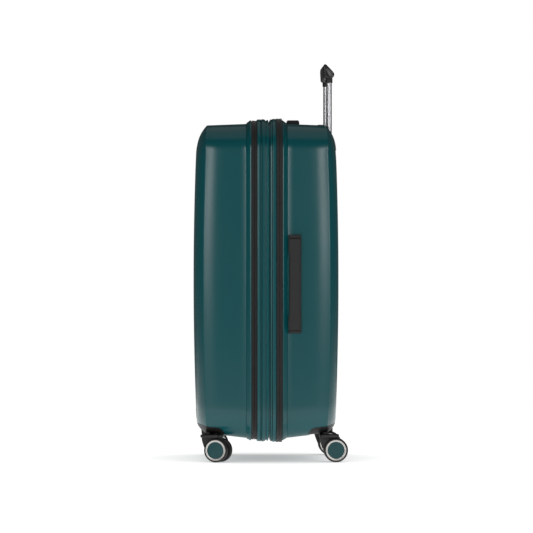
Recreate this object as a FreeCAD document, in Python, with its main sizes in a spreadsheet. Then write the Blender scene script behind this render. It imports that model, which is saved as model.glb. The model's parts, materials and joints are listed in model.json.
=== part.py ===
import FreeCAD, Part
import math
import os
from types import SimpleNamespace

import Sketcher

# Hard shell suitcase on four twin-wheel casters. Millimetres, +Z up, the origin on the floor under
# the middle of the case. The lid half faces -Y, the pull handle rises behind the +Y half, and the
# side carry handle is on +X.

DRIVING = (
    ("case_width", 520, "over the zip bands, side to side"),
    ("case_height", 726, "over the zip bands, bottom to top"),
    ("corner_radius", 75, "corners of the zip bands, seen from the front"),
    ("shell_depth", 127, "rim to the middle of the face, each half"),
    ("wall", 3, "shell wall"),
    ("zip_width", 13, "one closed zip, both tapes"),
    ("frame_depth", 43, "middle frame between the two zips"),
    ("rim_inset", 4.5, "shell rim inside the zip band outline"),
    ("waist_depth", 11, "rim flare, along the depth"),
    ("waist_inset", 10.5, "shell just behind the flare"),
    ("crease_inset", 15.8, "shell at the crease round its face"),
    ("edge_radius", 78, "arc from the crease to the face"),
    ("foot_inset", 20, "crease along the bottom edge"),
    ("foot_radius", 42, "arc of the bottom edge"),
    ("crown", 5.7, "how far the face bulges"),
    ("tape_thick", 1.6, "zip tape with its coil"),
    ("zip_gap", 0.4, "between the two halves of a zip"),
    ("main_zip_inset", 6.5, "opening zip, inside the band outline"),
    ("frame_inset", 2.5, "front ridge of the middle frame"),
    ("groove_inset", 7, "groove floor of the middle frame"),
    ("piping_width", 4, "bead beside the groove"),
    ("groove_width", 4, "open groove of the middle frame"),
    ("hinge_length", 480, "sewn hinge strip on the far side"),
    ("fit_gap", 0.3, "between pieces that move past each other"),
    ("pin_gap", 0.08, "radial play of a pin in its bore"),
    ("wheel_radius", 27, "tyre"),
    ("wheel_width", 12, "each of the twin wheels"),
    ("wheel_clearance", 8, "top of the tyre to the top of the fork plate"),
    ("wheel_spacing", 36, "between the twin wheels' middles"),
    ("hub_radius", 19, "hub inside the tyre"),
    ("axle_radius", 2.5, "wheel axle"),
    ("caster_trail", 24, "swivel axis to axle"),
    ("caster_side", 60, "swivel axis inside the zip band outline, sideways"),
    ("caster_setback", 30.5, "swivel axis inside the face, in depth"),
    ("stem_radius", 6, "swivel stem"),
    ("stem_length", 14, "swivel stem above the fork"),
    ("fork_rise", 18.5, "zip band outline to the top of the fork plate"),
    ("housing_gap", 1, "fork plate to the housing above it"),
    ("housing_height", 21, "wheel housings"),
    ("housing_length", 76, "wheel housing along the depth"),
    ("housing_width", 100, "wheel housing along the width"),
    ("tube_spacing", 210, "between the pull handle's tubes"),
    ("tube_setback", 18.1, "tubes inside the rear face"),
    ("tube_depth", 12, "inner tube, front to back"),
    ("tube_width", 19, "inner tube, side to side"),
    ("tube_wall", 1.2, "all tubes"),
    ("bezel_width", 260, "guard round the grip recess"),
    ("bezel_length", 48.5, "guard's front edge inside the rear face"),
    ("bezel_drop", 71, "guard's lower edge under the zip band outline"),
    ("recess_width", 242, "grip recess"),
    ("recess_depth", 55.5, "grip recess under the zip band outline"),
    ("grip_length", 236, "pull handle grip"),
    ("grip_rise", 91.5, "grip underside over the zip band outline, partly pulled out"),
    ("grip_height", 34, "grip"),
    ("grip_depth", 25, "grip, front to back"),
    ("outer_tube_length", 564, "outer tubes"),
    ("inner_tube_length", 527, "inner tubes"),
    ("handle_length", 219, "carry handles with their end caps"),
    ("handle_setback", 27.5, "carry handles behind the rear rim"),
    ("side_handle_drop", 8.5, "side handle under the middle of the case"),
    ("handle_width", 28, "carry handle ends"),
    ("handle_waist", 24.6, "carry handle, hand stretch"),
    ("handle_rise", 10, "carry handle above the shell"),
    ("strap_thick", 3.6, "carry handle, hand stretch"),
    ("post_length", 18, "carry handle's posts inside the case"),
    ("lock_width", 84, "lock plate"),
    ("lock_depth", 20, "lock plate"),
    ("lock_height", 16, "lock body"),
    ("lock_proud", 1, "lock plate above the shell"),
    ("dial_radius", 7, "number dial"),
    ("dial_width", 4, "number dial"),
    ("dial_pitch", 8, "between number dials"),
    ("slider_x", 36, "zip sliders from the middle plane"),
)

doc = FreeCAD.newDocument("Suitcase")
sheet = doc.addObject("Spreadsheet::Sheet", "Sizes")


class Size:
    """A length together with the expression that binds it to the sheet."""

    def __init__(self, text, value):
        self.text, self.value = text, value

    def joined(self, sign, other, value, swap=False):
        ends = (self.text, other.text if isinstance(other, Size) else repr(float(other)))
        first, second = reversed(ends) if swap else ends
        return Size(f"({first} {sign} {second})", value)

    def __add__(self, other):
        return self.joined("+", other, self.value + number(other))

    def __sub__(self, other):
        return self.joined("-", other, self.value - number(other))

    def __mul__(self, other):
        return self.joined("*", other, self.value * number(other))

    def __truediv__(self, other):
        return self.joined("/", other, self.value / number(other))

    def __rsub__(self, other):
        return self.joined("-", other, number(other) - self.value, swap=True)

    def __neg__(self):
        return Size(f"(0 - {self.text})", -self.value)

    __radd__, __rmul__ = __add__, __mul__


def number(size):
    return size.value if isinstance(size, Size) else float(size)


for row, (alias, value, note) in enumerate(DRIVING, start=1):
    sheet.set(f"A{row}", note)
    sheet.set(f"B{row}", str(value))
    sheet.setAlias(f"B{row}", alias)
doc.recompute()
z = SimpleNamespace(**{alias: Size(f"Sizes.{alias}", float(value)) for alias, value, _ in DRIVING})

nodes = []  # (document object, node name), written out at the end


# ---------------------------------------------------------------- sketch and feature helpers
def bind(thing, path, size):
    if isinstance(size, Size):
        thing.setExpression(path, size.text)


def new_body(name, keep=True):
    body = doc.addObject("PartDesign::Body", name)
    body.Label = name
    body.AllowCompound = True
    if keep:
        nodes.append(body)
    return body


def new_sketch(body, role, offset):
    sketch = body.newObject("Sketcher::SketchObject", body.Name + "_outline")
    plane = [item for item in body.Origin.OriginFeatures if item.Role == role][0]
    sketch.AttachmentSupport = (plane, [""])
    sketch.MapMode = "FlatFace"
    sketch.AttachmentOffset = FreeCAD.Placement(
        FreeCAD.Vector(0, 0, number(offset)), FreeCAD.Rotation())
    bind(sketch, "AttachmentOffset.Base.z", offset)
    return sketch


def pin_down(sketch, geometry, point, axis, size):
    """Fixes one coordinate of a sketch point and binds it."""
    index = sketch.addConstraint(Sketcher.Constraint("Distance" + axis, geometry, point, number(size)))
    bind(sketch, f"Constraints[{index}]", size)


def polygon(sketch, points):
    spots = [FreeCAD.Vector(number(x), number(y), 0) for x, y in points]
    count = len(spots)
    lines = [sketch.addGeometry(Part.LineSegment(spots[i], spots[(i + 1) % count]))
             for i in range(count)]
    for i in range(count):
        after = lines[(i + 1) % count]
        sketch.addConstraint(Sketcher.Constraint("Coincident", lines[i], 2, after, 1))
    for line, (x, y) in zip(lines, points):
        pin_down(sketch, line, 1, "X", x)
        pin_down(sketch, line, 1, "Y", y)


def rectangle(sketch, x0, y0, x1, y1):
    polygon(sketch, [(x0, y0), (x1, y0), (x1, y1), (x0, y1)])


def rounded(sketch, x0, y0, x1, y1, radius):
    """A rounded rectangle between two corners."""
    left, low, right, high, bend = (number(v) for v in (x0, y0, x1, y1, radius))
    runs = (((left + bend, low), (right - bend, low)), ((right, low + bend), (right, high - bend)),
            ((right - bend, high), (left + bend, high)), ((left, high - bend), (left, low + bend)))
    centres = ((right - bend, low + bend), (right - bend, high - bend),
               (left + bend, high - bend), (left + bend, low + bend))
    lines, arcs = [], []
    for turn, (run, centre) in enumerate(zip(runs, centres)):
        start, end = (FreeCAD.Vector(*spot, 0) for spot in run)
        lines.append(sketch.addGeometry(Part.LineSegment(start, end)))
        circle = Part.Circle(FreeCAD.Vector(*centre, 0), FreeCAD.Vector(0, 0, 1), bend)
        angle = math.pi / 2 * (turn - 1)
        arcs.append(sketch.addGeometry(Part.ArcOfCircle(circle, angle, angle + math.pi / 2)))
    for turn in range(4):
        after = lines[(turn + 1) % 4]
        sketch.addConstraint(Sketcher.Constraint("Tangent", lines[turn], 2, arcs[turn], 1))
        sketch.addConstraint(Sketcher.Constraint("Tangent", arcs[turn], 2, after, 1))
        sketch.addConstraint(Sketcher.Constraint(
            "Vertical" if turn % 2 else "Horizontal", lines[turn]))
        if turn:
            sketch.addConstraint(Sketcher.Constraint("Equal", arcs[0], arcs[turn]))
    index = sketch.addConstraint(Sketcher.Constraint("Radius", arcs[0], bend))
    bind(sketch, f"Constraints[{index}]", radius)
    pin_down(sketch, lines[0], 1, "Y", y0)
    pin_down(sketch, lines[1], 1, "X", x1)
    pin_down(sketch, lines[2], 1, "Y", y1)
    pin_down(sketch, lines[3], 1, "X", x0)


def circle(sketch, x, y, radius):
    ring = sketch.addGeometry(Part.Circle(
        FreeCAD.Vector(number(x), number(y), 0), FreeCAD.Vector(0, 0, 1), number(radius)))
    index = sketch.addConstraint(Sketcher.Constraint("Radius", ring, number(radius)))
    bind(sketch, f"Constraints[{index}]", radius)
    pin_down(sketch, ring, 3, "X", x)
    pin_down(sketch, ring, 3, "Y", y)


def extrude(body, kind, role, start, length, *outlines):
    """Pads or pockets outlines along the plane's own normal, from start."""
    sketch = new_sketch(body, role, start)
    for draw, *sizes in outlines:
        draw(sketch, *sizes)
    feature = body.newObject("PartDesign::" + kind, f"{body.Name}_{kind.lower()}")
    feature.Profile = sketch
    feature.Length = number(length)
    bind(feature, "Length", length)
    feature.Reversed = kind == "Pocket"
    return feature


def pad_up(body, low, high, *outlines):
    return extrude(body, "Pad", "XY_Plane", low, high - low, *outlines)


def cut_up(body, low, high, *outlines):
    return extrude(body, "Pocket", "XY_Plane", low, high - low, *outlines)


def pad_side(body, left, right, *outlines):
    return extrude(body, "Pad", "YZ_Plane", left, right - left, *outlines)


def cut_side(body, left, right, *outlines):
    return extrude(body, "Pocket", "YZ_Plane", left, right - left, *outlines)


def pad_depth(body, front, back, *outlines):
    """Along Y; the XZ plane's normal points to -Y."""
    return extrude(body, "Pad", "XZ_Plane", -back, back - front, *outlines)


def cut_depth(body, front, back, *outlines):
    return extrude(body, "Pocket", "XZ_Plane", -back, back - front, *outlines)


def place(thing, x, y, up, turn=0.0, axis=(0, 0, 1)):
    thing.Placement = FreeCAD.Placement(
        FreeCAD.Vector(number(x), number(y), number(up)),
        FreeCAD.Rotation(FreeCAD.Vector(*axis), turn))
    for name, size in zip("xyz", (x, y, up)):
        bind(thing, f"Placement.Base.{name}", size)


# ---------------------------------------------------------------- shared places
half_width = z.case_width / 2
fork_top = z.wheel_radius * 2 + z.wheel_clearance
base = fork_top - z.fork_rise
top = base + z.case_height
middle = base + z.case_height / 2
frame_half = z.frame_depth / 2
rim_y = frame_half + z.zip_width
zip_middle = frame_half + z.zip_width / 2
face_y = rim_y + z.shell_depth
waist_y = rim_y + z.waist_depth
caster_x, caster_y = half_width - z.caster_side, face_y - z.caster_setback
housing_base = fork_top + z.housing_gap
housing_top = housing_base + z.housing_height
tube_y = face_y - z.tube_setback
bezel_front = face_y - z.bezel_length
recess_floor = top - z.recess_depth
grip_base = top + z.grip_rise
handle_y = rim_y + z.handle_setback
side_handle_z = middle - z.side_handle_drop
HALF_SINE = math.sin(math.radians(45))


def case_outline(inset, radius=None, low=None):
    """The zip band outline, moved inwards."""
    radius = z.corner_radius - inset if radius is None else radius
    low = inset if low is None else low
    return rounded, inset - half_width, base + low, half_width - inset, top - inset, radius


def case_ring(inset, thick):
    return case_outline(inset), case_outline(inset + thick)


# ---------------------------------------------------------------- the two shells
def shell_sections(wall):
    """Depth from the rim, inset, bottom inset and corner radius of each section of a shell."""
    opening = 0.0 if number(wall) == 0 else 1.0
    edge, foot = z.edge_radius - wall, z.foot_radius - wall
    edge_end = z.crease_inset + z.edge_radius * HALF_SINE
    foot_end = z.foot_inset + z.foot_radius * HALF_SINE
    arc_middle = z.shell_depth - z.crown - z.edge_radius
    crease_radius = z.corner_radius - z.crease_inset - wall
    sections = [(-opening, z.rim_inset + wall, z.rim_inset + wall,
                 z.corner_radius - z.rim_inset - wall),
                (z.waist_depth, z.waist_inset + wall, z.waist_inset + wall,
                 z.corner_radius - z.waist_inset - wall)]
    for angle, shrink in ((45, 0), (30, 4), (15, 10), (0, 18)):
        along, across = math.cos(math.radians(angle)), math.sin(math.radians(angle))
        sections.append((arc_middle + edge * along, edge_end - edge * across,
                         foot_end - foot * across, crease_radius - shrink))
    crown_radius = crease_radius / 2
    sections.append((z.shell_depth - z.crown * 0.35 - wall, edge_end * 2, edge_end * 2, crown_radius))
    sections.append((z.shell_depth - wall, edge_end * 3.2, edge_end * 3.2, crown_radius / 2))
    return sections


def add_shell_form(body, kind, facing, wall):
    sketches = []
    for depth, inset, low, radius in shell_sections(wall):
        sketch = new_sketch(body, "XZ_Plane", -facing * (rim_y + depth))
        draw, *sizes = case_outline(inset, radius, low)
        draw(sketch, *sizes)
        sketches.append(sketch)
    form = body.newObject(f"PartDesign::{kind}Loft", f"{body.Name}_{kind.lower()}_form")
    form.Profile = sketches[0]
    form.Sections = [(sketch, [""]) for sketch in sketches[1:]]
    form.Ruled = True
    return form


def shell(name, facing):
    body = new_body(name)
    add_shell_form(body, "Additive", facing, 0.0)
    doc.recompute()
    add_shell_form(body, "Subtractive", facing, z.wall)
    doc.recompute()
    near, far = (caster_y - z.housing_length / 2), face_y + 10
    front, back = (near, far) if facing > 0 else (-far, -near)
    inner, outer = half_width - z.housing_width - z.waist_inset, half_width + 10
    cut_up(body, 0.0, housing_top, (rectangle, inner, front, outer, back),
           (rectangle, -outer, front, -inner, back))
    return body


front_shell = shell("front_shell", -1)
LOCK_EDGE = 3.5   # between the rim and the lock plate
lock_y = -(rim_y + z.lock_depth / 2 + LOCK_EDGE)
lock_plate = (rectangle, z.lock_width / -2, lock_y - z.lock_depth / 2, z.lock_width / 2,
              lock_y + z.lock_depth / 2)
lock_top = top - z.waist_inset + z.lock_proud
lock_base = lock_top - z.lock_height
cut_up(front_shell, lock_base - 10, lock_top + 10, lock_plate)

rear_shell = shell("rear_shell", 1)
bezel_half = z.bezel_width / 2
bezel_low = top - z.bezel_drop
cut_side(rear_shell, -bezel_half, bezel_half,
         (rectangle, bezel_front, bezel_low, face_y + 10, top + 10))


def wall_inset(y, crease=z.crease_inset):
    """Inset of the shell's outer wall between the flare and the crease; its floor has its own crease."""
    crease_depth = z.shell_depth - z.crown - z.edge_radius + z.edge_radius * HALF_SINE
    slope = (crease - z.waist_inset) / (crease_depth - z.waist_depth)
    return z.waist_inset + slope * (y - waist_y)


handle_inset = wall_inset(handle_y)
mount_outer = z.handle_length / 2
mount_inner = mount_outer - 40
mount_half = z.handle_width / 2 + 0.5
handle_lines = (handle_y - mount_half, handle_y + mount_half)
cut_up(rear_shell, top - 60, top + 10,
       (rectangle, mount_inner, handle_lines[0], mount_outer, handle_lines[1]),
       (rectangle, -mount_outer, handle_lines[0], -mount_inner, handle_lines[1]))
cut_side(rear_shell, half_width - 60, half_width + 10,
         (rectangle, handle_lines[0], side_handle_z + mount_inner, handle_lines[1],
          side_handle_z + mount_outer),
         (rectangle, handle_lines[0], side_handle_z - mount_outer, handle_lines[1],
          side_handle_z - mount_inner))


# ---------------------------------------------------------------- zips, middle frame, hinge strip
def band(name, front, back, inset, thick):
    body = new_body(name)
    pad_depth(body, front, back, *case_ring(inset, thick))
    return body


half_zip = (z.zip_width - z.zip_gap) / 2
hinge_low, hinge_high = middle - z.hinge_length / 2, middle + z.hinge_length / 2
for name, front in (("main_zip_front", -rim_y), ("main_zip_rear", -frame_half - half_zip)):
    tape = band(name, front, front + half_zip, z.main_zip_inset, z.tape_thick)
    cut_depth(tape, -rim_y - 5, -frame_half + 5,
              (rectangle, -half_width - 5, hinge_low, -half_width + 30, hinge_high))
gusset_inset = z.rim_inset + (z.wall - z.tape_thick)
band("expander_zip_front", frame_half, frame_half + half_zip, 0.0, gusset_inset - z.fit_gap)
band("expander_zip_rear", rim_y - half_zip, rim_y, 0.0, gusset_inset)
band("expander_gusset", frame_half + z.fit_gap, rim_y, gusset_inset, z.tape_thick)

frame = new_body("middle_frame")
ridge_back = -0.5
groove_back = z.piping_width + z.groove_width
pad_depth(frame, -frame_half, frame_half, *case_ring(z.groove_inset, z.wall))
pad_depth(frame, -frame_half, ridge_back,
          *case_ring(z.frame_inset, z.groove_inset - z.frame_inset))
pad_depth(frame, groove_back, frame_half, *case_ring(z.frame_inset, z.groove_inset - z.frame_inset))
PIPING_DROP = 1.5
band("frame_piping", 0.0, z.piping_width, z.frame_inset + PIPING_DROP,
     z.groove_inset - z.frame_inset - PIPING_DROP)

strip = new_body("hinge_strip")
strip_x = -half_width + z.main_zip_inset
pad_depth(strip, z.fit_gap - rim_y, -z.fit_gap - frame_half,
          (rectangle, strip_x, hinge_low + z.fit_gap, strip_x + z.tape_thick, hinge_high - z.fit_gap))


# ---------------------------------------------------------------- zip sliders and their pulls
PLATE_TOP, PIVOT_RISE, PIVOT_RADIUS = 2.4, 4.6, 1.1   # above the tape, and the pull's pin
BRIDGE_HALF, ARM_WIDTH, PULL_REACH = 1.4, 2.2, 21.5


def zip_slider(name, x, y, up, turn=0.0):
    """Slider plate with a bridge; local Z points out of the case and local X runs along the zip."""
    body = new_body(name)
    pad_up(body, z.fit_gap, PLATE_TOP + z.fit_gap, (rounded, -5.5, -4.8, 5.5, 4.8, 2.0))
    pad_side(body, -BRIDGE_HALF, BRIDGE_HALF, (polygon, [
        (-4.2, PLATE_TOP), (4.2, PLATE_TOP), (3.4, PIVOT_RISE + 0.4), (1.6, PIVOT_RISE + 1.9),
        (-1.6, PIVOT_RISE + 1.9), (-3.4, PIVOT_RISE + 0.4)]))
    cut_side(body, -BRIDGE_HALF - 1, BRIDGE_HALF + 1,
             (circle, 0.0, PIVOT_RISE, PIVOT_RADIUS + z.pin_gap))
    place(body, x, y, up, turn, (0, 1, 0))
    return body


def zip_pull(name, x, y, up, turn=0.0):
    """Pull tab with its pin and two arms beside the bridge, lying back towards +Y."""
    body = new_body(name)
    arm = BRIDGE_HALF + z.fit_gap
    low, high, bend = PIVOT_RISE - 0.3, PIVOT_RISE + 1.3, 6.0
    pad_side(body, -arm, arm, (circle, 0.0, PIVOT_RISE, PIVOT_RADIUS))
    for start in (arm, -arm - ARM_WIDTH):
        pad_side(body, start, start + ARM_WIDTH, (polygon, [
            (-PIVOT_RADIUS, PIVOT_RISE - PIVOT_RADIUS), (PIVOT_RADIUS, PIVOT_RISE - PIVOT_RADIUS),
            (bend, low), (bend, high), (-PIVOT_RADIUS, high)]))
    pad_side(body, -arm - ARM_WIDTH, arm + ARM_WIDTH, (polygon, [
        (bend, low), (PULL_REACH, low), (PULL_REACH, high), (bend, high)]))
    place(body, x, y, up, turn, (0, 1, 0))
    return body


main_zip_z = top - z.main_zip_inset
for side, word in ((-1, "left"), (1, "right")):
    zip_slider("slider_" + word, side * z.slider_x, -zip_middle, main_zip_z)
    zip_pull("pull_" + word, side * z.slider_x, -zip_middle, main_zip_z)
zip_slider("expander_slider", -half_width, zip_middle, middle, -90)
zip_pull("expander_pull", -half_width, zip_middle, middle, -90)


# ---------------------------------------------------------------- combination lock
lock = new_body("lock_housing")
pad_up(lock, lock_base, lock_top, lock_plate)
DIAL_PROUD, PIN_RADIUS, LOCK_FLOOR, KEY_RECESS = 1.5, 1.0, 2.0, 4.0
dial_z = lock_top + DIAL_PROUD - z.dial_radius
dial_spots = [z.dial_pitch * step for step in (-1, 0, 1)]
slot_half, slot_reach = z.dial_width / 2 + z.fit_gap, z.dial_radius + 2 * z.fit_gap
cut_up(lock, lock_base + LOCK_FLOOR, lock_top + LOCK_FLOOR,
       *[(rectangle, spot - slot_half, lock_y - slot_reach, spot + slot_half, lock_y + slot_reach)
         for spot in dial_spots])
axle_reach = z.dial_pitch + slot_half + 3
cut_side(lock, -axle_reach, axle_reach, (circle, lock_y, dial_z, PIN_RADIUS))
button_x, key_x, key_radius = 22.0, -24.0, 4.5
BUTTON_X, BUTTON_Y, BUTTON_FREE = 6.0, 5.0, 4.0   # half sizes, and the room under it
cut_up(lock, lock_base + KEY_RECESS, lock_top + LOCK_FLOOR,
       (rectangle, button_x - BUTTON_X - z.fit_gap, lock_y - BUTTON_Y - z.fit_gap,
        button_x + BUTTON_X + z.fit_gap, lock_y + BUTTON_Y + z.fit_gap),
       (circle, key_x, lock_y, key_radius + z.pin_gap))

button = new_body("lock_button")
pad_up(button, lock_base + KEY_RECESS + BUTTON_FREE, lock_top + 1.2,
       (rounded, button_x - BUTTON_X, lock_y - BUTTON_Y, button_x + BUTTON_X, lock_y + BUTTON_Y, 1.5))
keyway = new_body("lock_keyway")
pad_up(keyway, lock_base + KEY_RECESS + z.fit_gap, lock_top + 0.6,
       (circle, key_x, lock_y, key_radius))
cut_up(keyway, lock_top - KEY_RECESS, lock_top + LOCK_FLOOR,
       (rectangle, key_x - 2.6, lock_y - 0.6, key_x + 2.6, lock_y + 0.6))
for index, spot in enumerate(dial_spots, start=1):
    dial = new_body(f"lock_dial_{index}")
    pad_side(dial, spot - z.dial_width / 2, spot + z.dial_width / 2,
             (circle, lock_y, dial_z, z.dial_radius), (circle, lock_y, dial_z, PIN_RADIUS + z.pin_gap))
dial_axle = new_body("dial_axle")
pad_side(dial_axle, -axle_reach, axle_reach, (circle, lock_y, dial_z, PIN_RADIUS))


# ---------------------------------------------------------------- pull handle and its guard
recess_half = z.recess_width / 2
recess_front = tube_y - z.grip_depth / 2 - 4
floor_thick, skin, proud = 4.0, 4.0, 2.5
arc_y = face_y - z.crown - z.edge_radius
arc_z = top - z.crease_inset - z.edge_radius * HALF_SINE


def guard_point(angle, radius):
    along, across = math.cos(math.radians(angle)), math.sin(math.radians(angle))
    return arc_y + radius * along, arc_z + radius * across


bezel = new_body("handle_bezel")
outer_line = [guard_point(angle, z.edge_radius + proud) for angle in (0, 9, 18, 27, 36, 45)]
inner_line = [guard_point(angle, z.edge_radius + proud - skin) for angle in (45, 36, 27, 18, 9, 0)]
front_z = top - wall_inset(bezel_front) + proud
pad_side(bezel, -bezel_half, bezel_half,
         (polygon, outer_line + [(bezel_front, front_z), (bezel_front, front_z - skin)]
          + inner_line))
recess_low = recess_floor - floor_thick
back_y = arc_y + z.edge_radius + proud - skin / 2
tray_wall = 3.0
pad_side(bezel, -recess_half - tray_wall, recess_half + tray_wall,
         (polygon, [(recess_front - tray_wall, recess_low), (back_y, recess_low),
                    (back_y, recess_floor), (back_y - 11, recess_floor + 27),
                    (recess_front - tray_wall, front_z - skin / 2)]))
cut_side(bezel, -recess_half, recess_half,
         (rectangle, recess_front, recess_floor, face_y + 10, top + 20))


def tube_outline(grow):
    """Both tubes' outlines, grown on every side."""
    reach, depth = z.tube_width / 2 + grow, z.tube_depth / 2 + grow
    spots = (z.tube_spacing / -2, z.tube_spacing / 2)
    return [(rounded, spot - reach, tube_y - depth, spot + reach, tube_y + depth, depth * 0.8)
            for spot in spots]


outer_base, inner_base = recess_floor - z.outer_tube_length, grip_base - z.inner_tube_length
outer_grow = z.fit_gap + z.tube_wall
sleeve_grow = outer_grow + z.fit_gap + z.tube_wall
cut_up(bezel, recess_low - 2, recess_floor + 2, *tube_outline(outer_grow + z.fit_gap))

sleeves = new_body("trolley_sleeves")
pad_up(sleeves, outer_base - 12, recess_low, *tube_outline(sleeve_grow))
cut_up(sleeves, outer_base - z.fit_gap, recess_low + 5,
       *tube_outline(outer_grow + z.fit_gap))

outer_tubes = new_body("outer_tubes")
pad_up(outer_tubes, outer_base, recess_floor, *tube_outline(outer_grow))
cut_up(outer_tubes, outer_base - 1, recess_floor + 1, *tube_outline(z.fit_gap))
bushes = new_body("tube_bushes")
pad_up(bushes, recess_floor, recess_floor + 2.0, *tube_outline(outer_grow))
cut_up(bushes, recess_floor - 1, recess_floor + 3, *tube_outline(z.fit_gap))

collar_base = grip_base - 9
inner_tubes = new_body("inner_tubes")
pad_up(inner_tubes, inner_base, grip_base, *tube_outline(0.0))
cut_up(inner_tubes, inner_base - 1, grip_base + 1, *tube_outline(-z.tube_wall))
collars = new_body("grip_collars")
pad_up(collars, collar_base, grip_base, *tube_outline(1.6))
cut_up(collars, collar_base - 1, grip_base + 1, *tube_outline(0.0))

grip_half = z.grip_length / 2
grip_front, grip_back = tube_y - z.grip_depth / 2 - 0.7, tube_y + z.grip_depth / 2 - 0.7
grip_top = grip_base + z.grip_height
grip = new_body("grip")
pad_side(grip, -grip_half, grip_half, (polygon, [
    (grip_front + 1.6, grip_base + 2.2), (grip_front + 4.5, grip_base),
    (grip_back - 5.5, grip_base), (grip_back - 1.6, grip_base + 3.4),
    (grip_back, grip_base + 8), (grip_back - 0.8, grip_base + 12),
    (grip_back - 16.5, grip_top - 3.6), (grip_front + 5.0, grip_top - 0.4),
    (grip_front + 3.2, grip_top), (grip_front + 1.2, grip_top - 1.6),
    (grip_front, grip_top - 6)]))
bar_half, bar_y = z.tube_spacing / 2 + 4, tube_y - 2.0
cut_up(grip, grip_base - 1, grip_base + 12,
       (rectangle, -bar_half, bar_y - 4, bar_half, bar_y + 4))

BUTTON_HALF, ROD_RADIUS = 32.0, 2.5
grip_button = new_body("grip_button")
pad_up(grip_button, grip_base - 2, grip_base + 6,
       (rounded, -BUTTON_HALF, bar_y - 4 + z.fit_gap, BUTTON_HALF, bar_y + 4 - z.fit_gap, 2.0))
rods = new_body("release_rods")
pad_up(rods, grip_base + 3, grip_base + 6,
       (rectangle, BUTTON_HALF, bar_y - 2, z.tube_spacing / 2, bar_y + 2),
       (rectangle, z.tube_spacing / -2, bar_y - 2, -BUTTON_HALF, bar_y + 2))
pad_up(rods, grip_base - 220, grip_base + 6,
       (circle, z.tube_spacing / 2, bar_y, ROD_RADIUS),
       (circle, z.tube_spacing / -2, bar_y, ROD_RADIUS))


# ---------------------------------------------------------------- carry handles
POST_OFFSET, POST_HALF, POST_SIDE = 20.0, 8.0, 5.0
CAP_LENGTH = 6.7


def carry_handle(name, *spot):
    """Local X along the handle and local Z out of the case, from the shell's surface."""
    body = new_body(name)
    end = mount_outer - CAP_LENGTH - z.fit_gap
    plate, under = z.handle_rise, z.handle_rise - z.strap_thick
    side, waist = z.handle_width / 2, z.handle_waist / 2
    pad_depth(body, -side, side,
              (polygon, [(mount_inner + 2, under), (end, 1.6), (end, plate - 2.5),
                         (end - 6, plate), (mount_inner + 2, plate)]),
              (polygon, [(-end, 1.6), (-mount_inner - 2, under), (-mount_inner - 2, plate),
                         (6 - end, plate), (-end, plate - 2.5)]))
    pad_depth(body, -waist, waist,
              (rectangle, -mount_inner - 2, under, mount_inner + 2, plate))
    post = mount_outer - POST_OFFSET
    pad_up(body, -z.post_length, under + 1,
           (rectangle, post - POST_HALF, -POST_SIDE, post + POST_HALF, POST_SIDE),
           (rectangle, -post - POST_HALF, -POST_SIDE, POST_HALF - post, POST_SIDE))
    place(body, *spot)
    return body


def handle_mounts(name, *spot):
    body = new_body(name)
    post = mount_outer - POST_OFFSET
    hole = (POST_HALF + z.fit_gap, POST_SIDE + z.fit_gap)
    for side in (-1, 1):
        low, high = (mount_inner, mount_outer) if side > 0 else (-mount_outer, -mount_inner)
        pad_up(body, -8.0, 1.2,
               (rectangle, low, -mount_half, high, mount_half))
        cap = (high - CAP_LENGTH, high) if side > 0 else (low, low + CAP_LENGTH)
        pad_up(body, 1.0, 6.5,
               (rectangle, cap[0], -mount_half, cap[1], mount_half))
        cut_up(body, -10.0, 3.0,
               (rectangle, side * post - hole[0], -hole[1], side * post + hole[0], hole[1]))
    place(body, *spot)
    return body


top_spot = (0.0, handle_y, top - handle_inset, 0.0)
side_spot = (half_width - handle_inset, handle_y, side_handle_z, 90.0, (0, 1, 0))
for name, spot in (("top_handle", top_spot), ("side_handle", side_spot)):
    carry_handle(name, *spot)
    handle_mounts(name + "_mounts", *spot)


# ---------------------------------------------------------------- inside
divider = new_body("divider_panel")
divider_y = waist_y + z.lock_depth
divider_inset, divider_low = (wall_inset(divider_y, crease) + z.wall + z.fit_gap
                              for crease in (z.crease_inset, z.foot_inset))
pad_depth(divider, -divider_y, 2 - divider_y, case_outline(divider_inset, low=divider_low))
lining_y = caster_y - 12
lining = new_body("rear_lining")
lining_inset = wall_inset(lining_y) + z.wall + z.fit_gap
pad_depth(lining, lining_y - 2, lining_y, case_outline(lining_inset, low=lining_inset + 34))

STRAP_HALF, STRAP_THICK = 14.0, 1.6
REACH_X, REACH_Z = half_width - 70, z.case_height / 2 - 123
straps = new_body("packing_straps")
for lean in (-1, 1):
    pad_depth(straps, lining_y - 2 - STRAP_THICK, lining_y - 2, (polygon, [
        (-lean * REACH_X - STRAP_HALF, middle - REACH_Z), (-lean * REACH_X + STRAP_HALF, middle - REACH_Z),
        (lean * REACH_X + STRAP_HALF, middle + REACH_Z), (lean * REACH_X - STRAP_HALF, middle + REACH_Z)]))
buckle = new_body("strap_buckle")
buckle_y = lining_y - 2 - STRAP_THICK
pad_depth(buckle, buckle_y - 9, buckle_y, (rounded, -28.0, middle - 20, 28.0, middle + 20, 7.0))


# ---------------------------------------------------------------- casters and their housings
def shell_solid(name, facing):
    body = new_body(name, keep=False)
    add_shell_form(body, "Additive", facing, 0.0)
    return body


housing_inner = half_width - z.housing_width - z.waist_inset
housing_near = caster_y - z.housing_length / 2


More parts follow.
